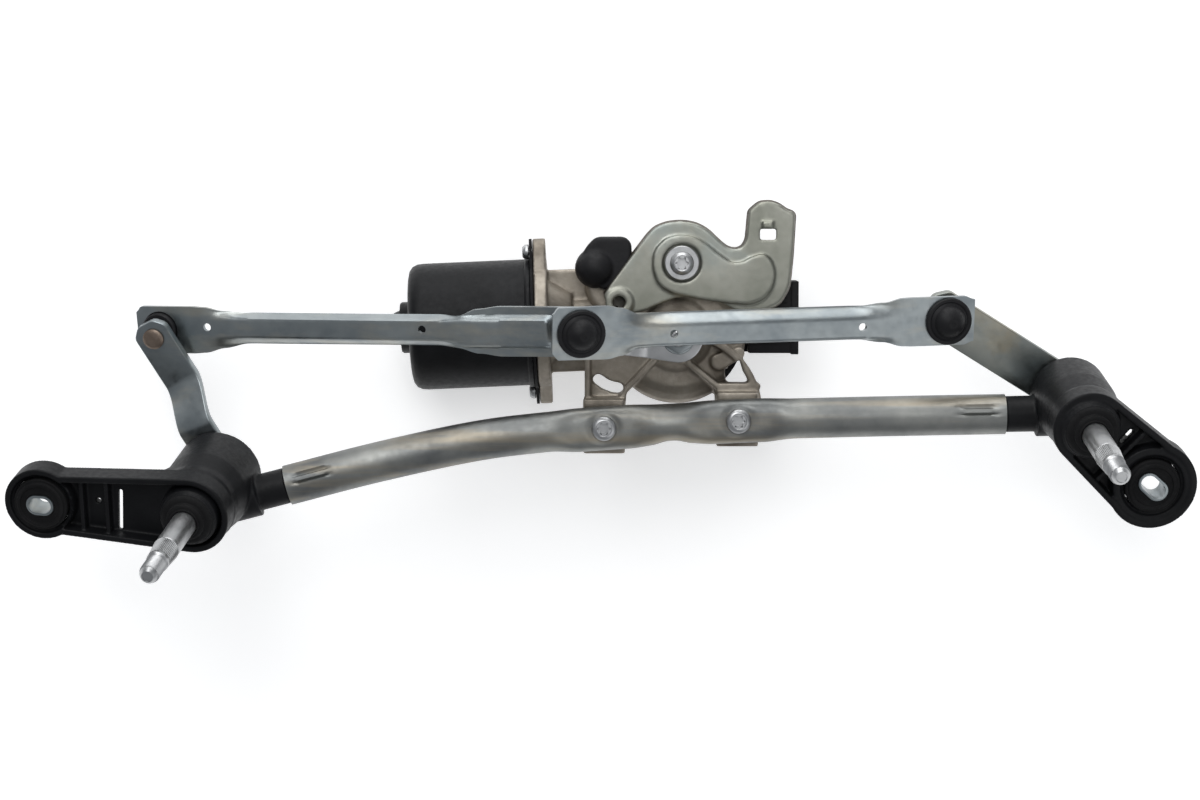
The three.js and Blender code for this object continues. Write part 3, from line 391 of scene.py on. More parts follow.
def plate(outline, low, high, place=upright):
    shape = bmesh.new()
    face = shape.faces.new([shape.verts.new((x, y, low)) for x, y in outline])
    made = bmesh.ops.extrude_face_region(shape, geom=[face])["geom"]
    bmesh.ops.translate(shape, verts=[v for v in made if isinstance(v, bmesh.types.BMVert)],
                        vec=(0, 0, high - low))
    bmesh.ops.recalc_face_normals(shape, faces=shape.faces)
    return placed(shape, place)


def ball(radius, centre, place=upright):
    shape = bmesh.new()
    bmesh.ops.create_uvsphere(shape, u_segments=32, v_segments=20, radius=radius)
    return placed(shape, place @ Matrix.Translation(centre))


def onCircle(radius, degrees):
    return radius * math.cos(math.radians(degrees)), radius * math.sin(math.radians(degrees))


def belt(xa, ya, ra, xb, yb, rb, steps=18):
    length = math.hypot(xb - xa, yb - ya)
    along = math.atan2(yb - ya, xb - xa)
    side = math.acos((ra - rb) / length)
    first = [along + side + (2 * math.pi - 2 * side) * i / steps for i in range(steps + 1)]
    second = [along - side + 2 * side * i / steps for i in range(steps + 1)]
    return ([(xa + ra * math.cos(a), ya + ra * math.sin(a)) for a in first]
            + [(xb + rb * math.cos(a), yb + rb * math.sin(a)) for a in second])


def rounded(points, radius, steps=5):
    # The same outline with each corner turned into a short arc.
    made = []
    for i, point in enumerate(points):
        before, here, after = Vector(points[i - 1]), Vector(point), Vector(points[(i + 1) % len(points)])
        reach = min(radius, (before - here).length * .45, (after - here).length * .45)
        start, end = here + (before - here).normalized() * reach, here + (after - here).normalized() * reach
        for k in range(steps + 1):
            t = k / steps
            made.append(tuple(start * (1 - t) ** 2 + here * 2 * t * (1 - t) + end * t ** 2))
    return made


def grown(outline, amount):
    # Offsets a counter-clockwise outline outwards.
    made = []
    for i, point in enumerate(outline):
        along = Vector(outline[(i + 1) % len(outline)]) - Vector(outline[i - 1])
        made.append((point[0] + amount * along.y / along.length,
                     point[1] - amount * along.x / along.length))
    return made


def softened(shape, width, segments=3, angle=30):
    # Rounds the edges that are sharper than the angle.
    edges = [e for e in shape.edges if len(e.link_faces) == 2 and e.calc_face_angle(0) > math.radians(angle)]
    bmesh.ops.bevel(shape, geom=edges, offset=width, affect="EDGES", segments=segments, profile=0.5,
                    material=-1, clamp_overlap=True)
    return shape


def toObject(shape, name="work"):
    mesh = bpy.data.meshes.new(name)
    shape.to_mesh(mesh)
    shape.free()
    made = bpy.data.objects.new(name, mesh)
    scene.collection.objects.link(made)
    return made


def applied(made, *extra):
    # The object's mesh with its modifiers applied; the working objects are removed.
    bpy.context.view_layer.update()
    result = bmesh.new()
    result.from_mesh(made.evaluated_get(bpy.context.evaluated_depsgraph_get()).to_mesh())
    for item in (made, *extra):
        mesh = item.data
        bpy.data.objects.remove(item)
        bpy.data.meshes.remove(mesh)
    return result


def carved(shape, *tools):
    base, cutter = toObject(shape), toObject(gathered(*tools))
    modifier = base.modifiers.new("carve", "BOOLEAN")
    modifier.operation = "DIFFERENCE"
    modifier.solver = "EXACT"
    modifier.use_self = True
    modifier.object = cutter
    return applied(base, cutter)


def cast(shape, voxel, rounds):
    # Melts overlapping shapes into one casting with soft corners.
    base = toObject(shape)
    remesh = base.modifiers.new("melt", "REMESH")
    remesh.mode = "VOXEL"
    remesh.voxel_size = voxel
    ease = base.modifiers.new("ease", "SMOOTH")
    ease.factor = 0.5
    ease.iterations = rounds
    return applied(base)


def walled(shape, thickness, offset):
    # Gives a sheet its thickness: all of it inside at -1, half on each side at 0.
    sheet = toObject(shape)
    wall = sheet.modifiers.new("wall", "SOLIDIFY")
    wall.thickness = thickness
    wall.offset = offset
    return applied(sheet)


def sliced(shape, places):
    # Cuts edges across the shape at each place along X, so that it can bend there.
    for x in places:
        bmesh.ops.bisect_plane(shape, geom=shape.verts[:] + shape.edges[:] + shape.faces[:], dist=1e-4,
                               plane_co=(x, 0, 0), plane_no=(1, 0, 0))


def finishPiece(name, shape, body, slotName, replaced, place=upright, sharp=35):
    bmesh.ops.transform(shape, matrix=Matrix.Scale(mm, 4) @ place, verts=shape.verts)
    piece = toObject(shape, name)
    piece.data.validate()
    piece.data.polygons.foreach_set("use_smooth", [True] * len(piece.data.polygons))
    piece.data.set_sharp_from_angle(angle=math.radians(sharp))
    piece.data.materials.append(materials[slotName])
    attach(piece, body)
    if replaced:
        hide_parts(*replaced)
    return piece


# Frame tube
def smooth(value, low, high):
    t = min(max((value - low) / (high - low), 0), 1)
    return t * t * (3 - 2 * t)


def routeLine(points, count):
    # A smooth curve through the points, its knots spaced by the square root of each gap.
    points = [Vector((x, y, tube["height"])) for x, y in points]
    ends = [points[0] * 2 - points[1], *points, points[-1] * 2 - points[-2]]
    spans = len(points) - 1
    made = []
    for i in range(count + 1):
        at = min(i / count * spans, spans - 1e-9)
        k = int(at)
        a, b, c, d = ends[k:k + 4]
        ta = 0
        tb = ta + (b - a).length ** 0.5
        tc = tb + (c - b).length ** 0.5
        td = tc + (d - c).length ** 0.5
        t = tb + (tc - tb) * (at - k)
        ab = a * ((tb - t) / (tb - ta)) + b * ((t - ta) / (tb - ta))
        bc = b * ((tc - t) / (tc - tb)) + c * ((t - tb) / (tc - tb))
        cd = c * ((td - t) / (td - tc)) + d * ((t - tc) / (td - tc))
        abc = ab * ((tc - t) / (tc - ta)) + bc * ((t - ta) / (tc - ta))
        bcd = bc * ((td - t) / (td - tb)) + cd * ((t - tb) / (td - tb))
        made.append(abc * ((tc - t) / (tc - tb)) + bcd * ((t - tb) / (tc - tb)))
    return made


def buildTube():
    line = routeLine(tubeRoute, tube["stations"])
    runs = [0]
    for a, b in zip(line, line[1:]):
        runs.append(runs[-1] + (b - a).length)
    shape = bmesh.new()
    ring = bmesh.ops.create_circle(shape, radius=1, segments=tube["sides"])["verts"]
    edges = list({e for v in ring for e in v.link_edges})
    rings = [ring]
    for _ in line[1:]:
        made = bmesh.ops.extrude_edge_only(shape, edges=edges)["geom"]
        edges = [e for e in made if isinstance(e, bmesh.types.BMEdge) and len(e.link_faces) == 1]
        ring = [v for v in made if isinstance(v, bmesh.types.BMVert)]
        rings.append(ring)
    for ring, point, run in zip(rings, line, runs):
        i = runs.index(run)
        ahead = (line[min(i + 1, len(line) - 1)] - line[max(i - 1, 0)]).normalized()
        side = Vector((-ahead.y, ahead.x, 0))
        near = min(math.hypot(point.x - x, point.y - y) for x, y in tube["screws"])
        press = 1 - smooth(near, *tube["pressLength"])
        fromEnd = min(run, runs[-1] - run)
        groove = smooth(fromEnd, tube["grooveFrom"] - 1.2, tube["grooveFrom"] + .6)
        groove *= 1 - smooth(fromEnd, tube["grooveTo"] - .6, tube["grooveTo"] + 1.2)
        for v in ring:
            angle = math.atan2(v.co.y, v.co.x)      # 0 points to +Y, a quarter turn points to +Z
            across, up = math.cos(angle), math.sin(angle)
            radius = tube["radius"]
            # Two punched grooves beside each other hold the housing's stub at each end of the tube.
            for centre in tube["grooveAngles"]:
                gap = abs(math.degrees(angle) - centre) / tube["grooveHalf"]
                radius -= tube["grooveDepth"] * groove * (1 - smooth(gap, .35, 1))
            wide = radius + tube["spread"] * press * (tube["upperSpread"] if across > 0 else 1)
            if across < 0:
                wide -= tube["pinch"] * (1 - smooth(abs(point.x - tube["pinchAt"]), *tube["pinchLength"]))
            flat = radius - tube["press"] * press
            high = math.copysign(flat * (1 - (1 - abs(up)) ** (1 + tube["flattening"] * press)), up)
            if up > 0:
                high -= tube["dish"] * (1 - smooth(math.hypot(near, across * wide), *tube["dishLength"]))
            v.co = point + side * (across * wide) + Vector((0, 0, high))
    bmesh.ops.recalc_face_normals(shape, faces=shape.faces)
    holes = [rod(tube["screwHole"], 30, 70, steps=32, place=shift(x, y)) for x, y in tube["screws"]]
    shape = carved(walled(shape, tube["wall"], -1), *holes)
    finishPiece("tube", shape, "frame", "tube_steel", ["frame_tube"], sharp=40)


buildTube()
print("tube made")

# Links
links = {
    "left": {"from": lowerBall, "to": leftBall, "body": "left_link",
             "widths": [(-21, 7.5), (-18.5, 10.5), (-12, 12.2), (40, 12.4), (52, 11), (63, 7.6), (75, 7.1)],
             "ending": [(-46, 7.3), (-34, 9.4), (-24, 11.6), (-18, 12), (9.5, 12), (12.5, 9)],
             "plateEnd": 56, "neckEnd": 74, "raise": 3.6, "raiseStart": 13, "bends": (2.6, -5.2),
             "depth": 5.2, "holes": [80, -26]},
    "right": {"from": upperBall, "to": rightBall, "body": "right_link",
              "widths": [(-14, 9.5), (-11, 12.8), (13, 13), (20, 11.6), (29, 8.2), (40, 7.9)],
              "ending": [(-44, 8), (-33, 9.6), (-23, 12), (-18, 12.2), (8, 12.2), (13.5, 10.4)],
              "plateEnd": 15, "neckEnd": 44, "raise": 0, "raiseStart": 0, "bends": (1.6, -6.6),
              "depth": 5.4, "holes": [46, -44]},
}
linkSheet = 2.2


def stepped(stations, at):
    for (a, low), (b, high) in zip(stations, stations[1:]):
        if at <= b:
            return low + (high - low) * smooth(at, a, b)
    return stations[-1][1]


def buildLinkBar(side):
    link = links[side]
    length = (link["to"] - link["from"]).length
    widths = link["widths"] + [(length + x, half) for x, half in link["ending"]]
    start, end = widths[0][0], widths[-1][0]
    shape = bmesh.new()
    bmesh.ops.create_grid(shape, x_segments=220, y_segments=30, size=1)
    above, below = link["bends"]
    for v in shape.verts:
        x = start + (v.co.x + 1) / 2 * (end - start)
        half = stepped(widths, x)
        y = v.co.y * half
        channel = smooth(x, link["plateEnd"], link["neckEnd"]) * (1 - smooth(x, length - 52, length - 20))
        drop = smooth(y, above, half) if y > above else 0
        drop += smooth(-y, -below, half) if y < below else 0
        z = -link["depth"] * channel * drop
        if link["raise"]:
            strip = smooth(x, link["raiseStart"], link["raiseStart"] + 3) * (1 - (x / length) ** 2)
            z += link["raise"] * strip * (1 - smooth(abs(y), 5.6, 8) * (1 - smooth(x, 50, 66)))
        v.co = (x, y, z)
    shape = walled(shape, linkSheet, 0)
    bmesh.ops.recalc_face_normals(shape, faces=shape.faces)
    bores = [rod(9.4, -8, 9, place=shift(x)) for x in (0, length)]
    first, last = link["holes"]
    bores += [rod(2, -9, 9, steps=24, place=shift(x, -1.6)) for x in (first, length + last)]
    shape = carved(shape, *bores)
    finishPiece(f"{side}_link", shape, link["body"], "zinc_steel", [f"{side}_link_bar"],
                place=linkFrame(link["from"], link["to"]), sharp=45)


# Ball sockets
socketLook = {"ball": 6.8, "radius": 9.1, "flange": 11.7, "dome": 8.4, "lip": 4}


def socketProfile(capped):
    flat = 1.4
    bowl, radius, flange, lip = (socketLook[key] for key in ("ball", "radius", "flange", "lip"))
    outside = [(radius - .9, -lip), (radius - .2, -3.3), (radius - .2, flat), (flange - .5, flat),
               (flange, flat + .5), (flange, flat + 1.1), (flange - .5, flat + 1.6),
               (radius + .9, flat + 1.8), (radius + .3, flat + 1.5), (radius - .2, flat + 1.9)]
    hollow = [onCircle(bowl, a) for a in range(36, -37, -8)]
    if not capped:
        return [*outside, (radius - .8, flat + 2.6), (6.2, flat + 2.6), *hollow,
                (6.2, -lip), (radius - .9, -lip)]
    dome = [(socketLook["dome"] * math.cos(math.radians(a)), 1 + 8 * math.sin(math.radians(a)))
            for a in range(20, 90, 7)]
    return [(radius - .9, -lip), *outside[1:], *dome, (2.4, 8.95), (2.2, 8.7), (0, 8.7), (0, bowl),
            *[onCircle(bowl, a) for a in range(80, -37, -9)], (6.2, -lip), (radius - .9, -lip)]


def buildSockets(side):
    link = links[side]
    place = linkFrame(link["from"], link["to"])
    length = (link["to"] - link["from"]).length
    flip = Matrix.Rotation(math.pi, 4, "X") if side == "left" else upright
    for end, capped, turn, x in (("crank", side == "right", upright, 0), ("end", True, flip, length)):
        shape = turnedShape(socketProfile(capped), 56)
        finishPiece(f"{side}_link_{end}_cap", shape, link["body"], "black_plastic",
                    [f"{side}_link_{end}_socket"], place=place @ shift(x) @ turn)


# Levers and rivets
def leverOutline(pivot):
    half = pivot["width"] / 2
    tail, tip = -half * .95, pivot["leverRadius"] + half * .92
    corner = half * .5
    points = [(tail, -half + corner), (tail + corner, -half), (tip - corner, -half), (tip, -half + corner),
              (tip, half - corner), (tip - corner, half), (tail + corner, half), (tail, half - corner)]
    return rounded(points, 2)


def buildLever(side):
    pivot = pivots[side]
    half = pivot["thick"] / 2
    bendStart = pivot["leverRadius"] * .34
    bendEnd = bendStart + pivot["step"] * 1.35
    shape = plate(leverOutline(pivot), -half, half)
    sliced(shape, [bendStart - 3 + i * (bendEnd - bendStart + 6) / 29 for i in range(30)])
    for v in shape.verts:
        v.co.z -= pivot["step"] * smooth(v.co.x, bendStart - 1, bendEnd + 1)
    softened(shape, .55, 3, 40)
    finishPiece(f"{side}_lever_strip", shape, f"{side}_rocker", pivot["leverFinish"],
                [f"{side}_lever"], place=pivotFrames[side], sharp=50)
    facing = 1 if side == "left" else -1
    head = turnedShape([(0, 0), (5.1, 0), (5.35, .3), (5.3, .9), (4.6, 1.5), (3.2, 1.75), (1.2, 1.8),
                        (0, 1.75)], 40)
    turn = upright if side == "left" else Matrix.Rotation(math.pi, 4, "X")
    place = shift(pivot["leverRadius"], 0, -pivot["step"] + facing * (half + .3))
    finishPiece(f"{side}_rivet_head", head, f"{side}_rocker", "rivet_steel", [f"{side}_lever_rivet"],
                place=pivotFrames[side] @ place @ turn)


# Spindles and their collars
def buildSpindle(side):
    pivot = pivots[side]
    half = pivot["thick"] / 2
    tip = spindleFacts["collarTop"] + spindleFacts["reach"]
    radius, thread = spindleFacts["radius"], spindleFacts["thread"]
    body = turnedShape([(0, -half - 2), (4.2, -half - 2), (5, -half - 1.4), (5, half + .3),
                        (8, half + .3), (8, half + 1.2), (radius, half + 1.2), (radius, tip - 30),
                        (radius - .25, tip - 29.6), (radius - .9, tip - 17.6), (radius - .75, tip - 17.2),
                        (radius - .75, tip - 15.6), (thread + .1, tip - 15.2), (thread - .55, tip - 14.4),
                        (thread - .55, tip - 1.9), (thread - .9, tip - 1.3), (2.9, tip - .05), (2.5, tip),
                        (2.4, tip - .35), (0, tip - .35)], 64)
    knurl = rod(radius + .12, tip - 29.4, tip - 17.9, radius - .72, steps=96)
    around = sorted(knurl.verts, key=lambda v: (v.co.z > tip - 24, math.atan2(v.co.y, v.co.x)))
    for i, v in enumerate(around):
        if i % 2:
            v.co.x *= .945
            v.co.y *= .945
    # The thread is a sawtooth strip swept one turn round the core while it rises by one pitch.
    pitch = spindleFacts["pitch"]
    steps = 32
    turns = bmesh.new()
    teeth = [(thread - .9, tip - 15.6)]
    for i in range(9):
        z = tip - 14.9 + i * pitch
        teeth += [(thread - .55, z), (thread + .1, z + pitch * .42), (thread + .1, z + pitch * .58)]
    teeth += [(thread - .55, tip - 14.9 + 9 * pitch), (thread - .9, tip - 14.8 + 9 * pitch)]
    points = [turns.verts.new((r, 0, z)) for r, z in teeth]
    strip = [turns.edges.new(pair) for pair in zip(points, points[1:])]
    bmesh.ops.spin(turns, geom=points + strip, cent=(0, 0, 0), axis=(0, 0, 1), dvec=(0, 0, pitch / steps),
                   angle=2 * math.pi, steps=steps)
    tidied(turns)
    finishPiece(f"{side}_spindle_rod", gathered(body, knurl, turns), f"{side}_rocker", "bright_steel",
                [f"{side}_spindle"], place=pivotFrames[side], sharp=30)
    collar = turnedShape([(6.45, 58.3), (11.9, 58.3), (12.2, 61), (12.9, 61.4), (12.6, 62.2), (11.6, 63),
                          (9.9, 63.2), (9.5, 63.6), (9.3, 65), (8.7, 65.5), (7.6, 65.6), (7.4, 66.2),
                          (6.9, 66.4), (6.45, 66.2), (6.45, 58.3)], 56)
    finishPiece(f"{side}_collar", collar, "frame", "rubber", [f"{side}_spindle_seal"],
                place=pivotFrames[side])


# Pivot housings
housings = {
    "left": {"seat": 19.5, "rim": 3.2, "trayDepth": 7.5, "ribs": [.56, .73], "slot": (.475, 0, 10.2),
             "hole": .64, "gusset": 25, "waist": 3.4, "voxel": .62},
    "right": {"seat": 18.5, "rim": 3.2, "trayDepth": 7.5, "ribs": [.5], "slot": (.382, 9.8, 4.4),
              "hole": None, "gusset": 20, "waist": .6, "voxel": .62},
}
stub = {"outer": 9, "plug": 7.4, "flare": 11.4, "flareStart": 15}
housingTop, housingLow = 58, 4.2


def buildHousing(side):
    pivot, look = pivots[side], housings[side]
    toLocal = pivotFrames[side].inverted()
    line = routeLine(tubeRoute, 40)
    end, inward = (line[0], line[1] - line[0]) if side == "left" else (line[-1], line[-2] - line[-1])
    inward = inward.normalized()
    mouth, deep = toLocal @ (end - inward * .3), toLocal @ (end + inward * 19)
    along = (toLocal.to_3x3() @ inward).normalized()
    outside = mouth - along * (mouth.dot(along) + 4)
    eyeX, eyeY = pivot["eye"]
    reach = math.hypot(eyeX, eyeY)
    aim = Matrix.Rotation(math.atan2(eyeY, eyeX), 4, "Z")     # +X along the arm, from the spindle to the eye
    top, low, drum, eye = housingTop, housingLow, pivot["drum"], pivot["eyeRadius"]
    floor = top - look["trayDepth"]
    waist = eye - look["waist"]
    arm = belt(0, 0, look["seat"], reach, 0, waist, 26)
    tray = belt(0, 0, look["seat"] - look["rim"], reach, 0, waist - look["rim"], 26)
    atEye = aim @ shift(reach)
    solids = [rod(drum, low, low + 26, steps=56),
              rod(drum, low + 26, top - 11, look["seat"] - .5, steps=56),
              plate(arm, top - 12.5, top, aim), rod(eye, top - 12.5, top, steps=64, place=atEye),
              plate(belt(0, 0, drum - 1.5, look["gusset"], 0, 8, 20), top - 26, top - 12, aim),
              plate(belt(0, 0, drum - 3, look["gusset"] * .62, 0, 8, 20), top - 40, top - 25, aim),
              bar(mouth, outside, stub["outer"]), bar(deep, mouth, stub["plug"]),
              bar(mouth - along * stub["flareStart"], outside, stub["flare"])]
    body = carved(gathered(*solids), plate(tray, floor, top + 1, aim),
                  rod(eye - look["rim"], floor, top + 1, steps=64, place=atEye))
    # Inside the tray: the collar's seat, the eye's ring and the cross ribs.
    inner = [rod(15.2, floor - 1, top + 1.6, 14.4, steps=56), rod(13.4, top, top + 3.4, steps=56),
             rod(eye - 1.9, floor - 1, top - .6, eye - 2.6, steps=56, place=atEye)]
    inner += [block(at - 1.1, at + 1.1, 2 - waist, waist - 2, floor - 1, top - 2.2, aim)
              for at in (reach * share for share in look["ribs"])]
    body = gathered(body, *inner)
    # The narrow slot beside the first rib is cut straight down, not along the spindle.
    slotShare, slotSide, slotHalf = look["slot"]
    slotSpot = pivotFrames[side] @ aim @ Vector((reach * slotShare, slotSide, top))
    heading = (pivotFrames[side] @ aim).to_3x3() @ Vector((1, 0, 0))
    slotTurn = Matrix.Rotation(math.atan2(heading.y, heading.x), 4, "Z")
    slotPlace = toLocal @ Matrix.Translation(slotSpot) @ slotTurn
    tools = [rod(8.1, -5, 80), rod(12.1, top, 80),
             rod(13.8, top - 23, top + 1, place=atEye), rod(15.6, top - 2.2, top + 2, place=atEye),
             block(-1, 1, -slotHalf, slotHalf, -70, 20, slotPlace)]
    if look["hole"]:
        tools.append(rod(1.4, 10, 80, steps=20, place=aim @ shift(reach * look["hole"], -1)))
    body = cast(carved(body, *tools), look["voxel"], 3)
    finishPiece(f"{side}_housing", body, "frame", "black_paint", [f"{side}_pivot_housing"],
                place=pivotFrames[side], sharp=60)
    # Rubber grommet with its stepped rings, and the steel sleeve in it.
    slotReach = pivot["hole"] - 4
    sleeveHole = belt(-slotReach, 0, 4, slotReach, 0, 4, 14)
    sleeve = plate(belt(-slotReach, 0, 5.3, slotReach, 0, 5.3, 14), top - 12, top + 1.4)
    sleeve = carved(softened(sleeve, .4, 2, 60), plate(sleeveHole, top - 20, top + 9))
    at = pivotFrames[side] @ aim @ shift(reach)
    finishPiece(f"{side}_sleeve", sleeve, "frame", "zinc_steel", [f"{side}_eye_sleeve"], place=at)
    grommet = turnedShape([(0, top - 11), (13.2, top - 11), (13.5, top - 10.6), (13.5, top - .4),
                           (13.1, top + .1), (12.2, top + .2), (11.9, top + .9), (11.4, top + 1.2),
                           (10.2, top + 1.1), (9.8, top + .4), (8.6, top + .1), (7.4, top + .4),
                           (0, top + .4)], 56)
    grommet = carved(grommet, plate(belt(-slotReach, 0, 5.5, slotReach, 0, 5.5, 14), top - 20, top + 9))
    finishPiece(f"{side}_grommet", grommet, "frame", "rubber", [f"{side}_eye_grommet"], place=at)


# Screws and a washer
def sixLobe(radius, low, high):
    points = []
    for degrees in range(0, 360, 5):
        points.append(onCircle(radius * (.84 + .16 * math.cos(math.radians(6 * degrees))), degrees))
    return plate(points, low, high)


def buildScrew(name, node, place, seat, head, height, length, shank=2.9, drive=3.3):
    profile = [(0, seat - length), (shank - .5, seat - length), (shank, seat - length + .6),
               (shank, seat), (head - .25, seat), (head, seat + .35), (head, seat + height * .42),
               (head * .93, seat + height * .66), (head * .8, seat + height * .88),
               (head * .66, seat + height), (drive + .7, seat + height),
               (drive + .35, seat + height - .25), (0, seat + height - .25)]
    shape = carved(turnedShape(profile, 56), sixLobe(drive, seat - height * .25, seat + height + 1))
    finishPiece(name, shape, "frame", "bright_steel", [node], place=place)


def buildScrews():
    pressed = tube["height"] + tube["radius"] - tube["press"]
    for side, at in zip(("left", "right"), tube["screws"]):
        buildScrew(f"{side}_foot_screw", f"{side}_tube_screw", shift(*at), pressed - .6, 6.1, 2.7, 26)
    buildScrew("clamp_screw", "bracket_screw", shift(*clampAt), 40.1, 5.9, 3.4, 14)
    for name, (x, y) in motor["screws"].items():
        buildScrew(f"{name}_can_bolt", f"{name}_can_screw", alongMotor @ shift(x, y), motor["canFront"],
                   motor["screwHead"], 3.2, 7.5, shank=1.9, drive=2)
    washer = turnedShape([(3.3, 38.3), (8.3, 38.3), (8.6, 38.6), (8.6, 39.6), (8.2, 40), (3.3, 40),
                          (3.3, 38.3)], 48)
    finishPiece("clamp_washer", washer, "frame", "bright_steel", ["bracket_washer"],
                place=shift(*clampAt))


# Crank
def buildCrank():
    radius, thick, hub = crank["radius"], crank["thick"], crank["hub"]
    shape = plate(belt(0, 0, 12, radius, 0, 9, 24), 0, thick)
    sliced(shape, range(13, 29))
    for v in shape.verts:
        v.co.z += crank["step"] * smooth(v.co.x, 14, 27)
    softened(shape, .6, 3, 40)
    shape = carved(shape, rod(4.2, -2, 12), rod(4.2, -2, 20, place=shift(radius)))
    finishPiece("crank_plate", shape, "crank", "bright_steel", ["crank_arm"],
                place=shift(z=hub) @ crankTurn, sharp=45)
    top = hub + thick
    nut = rod(7.5, top + .3, top + 4.5, steps=6)
    softened(nut, .45, 2, 50)
    nut = carved(gathered(nut, rod(8, top + .3, top + 1.1, 7.7)), rod(4.15, top - 2, top + 9))
    finishPiece("hub_nut", nut, "crank", "zinc_steel", ["crank_nut"])


# Gear housing
casting = {"bowl": 35, "top": 31, "neck": 12.4, "neckTop": 58, "rib": 1.5, "ribTop": 38,
           "saddleTop": 42.3, "flange": (64.5, 71), "voxel": .8}


def wallAlong(points, half, low, high):
    return [plate(belt(xa, ya, half, xb, yb, half * .999, 6), low, high)
            for (xa, ya), (xb, yb) in zip(points, points[1:])]


def arcPoints(centre, radius, start, end, steps=12):
    turns = [onCircle(radius, start + (end - start) * i / steps) for i in range(steps + 1)]
    return [(centre[0] + x, centre[1] + y) for x, y in turns]


def buildGearHousing():
    bowl, top, neck, neckTop = (casting[key] for key in ("bowl", "top", "neck", "neckTop"))
    rib, ribTop, saddleTop = (casting[key] for key in ("rib", "ribTop", "saddleTop"))
    front, back = casting["flange"]
    idler = shift(*idlerPlace)
    solids = [turnedShape([(0, 2.5), (bowl, 2.5), (bowl, top - 8), (bowl - 1.5, top - 4),
                           (bowl - 5, top - 1.5), (bowl - 9, top), (0, top)], 72),
              rod(17, 2.5, 28, place=idler), rod(17, 28, 30, 15, place=idler),
              turnedShape([(0, top - 1), (19, top - 1), (17, top + 2), (14.5, top + 5), (neck, top + 10),
                           (neck, neckTop - 1), (neck - 1, neckTop), (0, neckTop)], 56),
              rod(10.5, 8, front + 1, place=alongMotor),
              rod(14, front - 12, front + 1, 22, place=alongMotor),
              block(-26, 26, -2, 2, front - 26, front + 1, alongMotor),
              block(-2, 2, -26, 26, front - 22, front + 1, alongMotor),
              rod(33, front, back, steps=72, place=alongMotor),
              *[plate(belt(x, y, motor["lobe"], 0, 0, 26, 16), front, back, alongMotor)
                for x, y in motor["screws"].values()],
              rod(8.6, 20, 35.7, place=shift(*clampAt)), block(-3, 3, 28, 44, 18, 35.7),
              rod(5.6, 16, 35.7, place=shift(*ringAt))]
    # Left foot: a floor with a raised border, and a brace back to the neck.
    leftFloor = [(-46, -38), (-27, -38), (-26, -28.5), (-11.5, -13), (-13, -5), (-30, 2), (-46, -6)]
    solids.append(plate(leftFloor, 22, 32))
    for points in ([(-44.8, -4), (-44.8, -38.5)], [(-27.5, -38.5), (-26.8, -28.5), (-11, -12)],
                   [(-44.8, -32.5), (-27.5, -32.5)]):
        solids += wallAlong(points, rib, 24, ribTop)
    # Right foot: a brace, an outer bow and the round boss between them.
    solids += wallAlong([(2, -11), (20.5, -26)], rib, 24, ribTop)
    solids += wallAlong(arcPoints((2, -38.5), 39, 64, 2), rib + .3, 22, ribTop)
    solids.append(plate([(19, -25), (41, -25), (41.5, -38), (19.5, -38)], 22, 32))
    solids += wallAlong([(20, -25.5), (40.5, -25.5)], rib, 24, ribTop)
    solids.append(plate(belt(21, -13.5, 4.2, 31, -9, 3, 10), 20, 35))
    solids.append(plate([(14, -8), (31, -2), (33, -12), (22, -24), (16, -20)], 20, 27))
    for x, y in tube["screws"]:
        solids.append(block(x - 10.5, x + 10.5, y - 13.8, y + 13.4, saddleTop - 6, saddleTop))
        solids.append(rod(9.5, 14, saddleTop - 2, place=shift(x, y + 3)))
        solids.append(block(x - 10, x + 10, y + 9, y + 13.2, 22, saddleTop + 1.4))
    cavities = [rod(32.4, -1, 9.6), rod(14.6, -1, 25, place=idler),
                rod(6.4, 6, back + 1, place=alongMotor), rod(7.6, 3, 70), rod(2.9, 0, 28.4, place=idler),
                rod(8.4, front - 4, back + 1, place=alongMotor), rod(3.1, 24, 38, place=shift(*clampAt)),
                rod(3, 24, 38, place=shift(*ringAt))]
    cavities += [rod(3.3, 14, 60, place=shift(x, y)) for x, y in tube["screws"]]
    cavities += [rod(10.9, -40, 40, place=shift(x, y, 52.2) @ Matrix.Rotation(math.pi / 2, 4, "Y"))
                 for x, y in tube["screws"]]
    cavities += wallAlong([(-39.5, -22.5), (-36, -25), (-32, -26.5), (-29.5, -26.8)], 2.8, 10, 60)
    cavities += [plate([(24, -17.5), (31.5, -12), (33.5, -19), (30, -23.6), (25, -23.6)], -1, 60)]
    body = cast(carved(gathered(*solids), *cavities), casting["voxel"], 3)
    finishPiece("gear_casting", body, "frame", "cast_aluminium", ["gear_housing"], sharp=60)


# Motor
def buildMotor():
    front = motor["canFront"]
    can = turnedShape([(30.4, front), (32.8, front), (33, front + .3), (33, 74.8), (32.7, 75.3),
                       (32, 75.8), (32, 127), (31.7, 130), (30.6, 132.4), (28.6, 133.9), (26, 134.5),
                       (13.4, 134.8), (13, 135.4), (13, 138.6), (12.3, 139.6), (9, 139.9), (8.6, 140.6),
                       (7.6, 143), (5.4, 144.4), (0, 144.8), (0, 143.2), (7, 142), (8.7, 139),
                       (8.8, 132.4), (27, 132.4), (30.4, 128), (30.4, front)], 80)
    finishPiece("motor_shell", can, "frame", "black_paint", ["motor_can"], place=alongMotor)
    places, sheet = motor["screws"].values(), motor["gasket"]
    lobes = [plate(belt(x, y, motor["lobe"], 0, 0, 26, 20), *sheet) for x, y in places]
    holes = [rod(2.3, 70, 74, steps=24, place=shift(x, y)) for x, y in places]
    gasket = carved(gathered(rod(33.6, *sheet, steps=72), *lobes), rod(25, 70, 74), *holes)
    finishPiece("flange_gasket", softened(tidied(gasket), .2, 1, 50), "frame", "rubber", ["motor_gasket"],
                place=alongMotor)


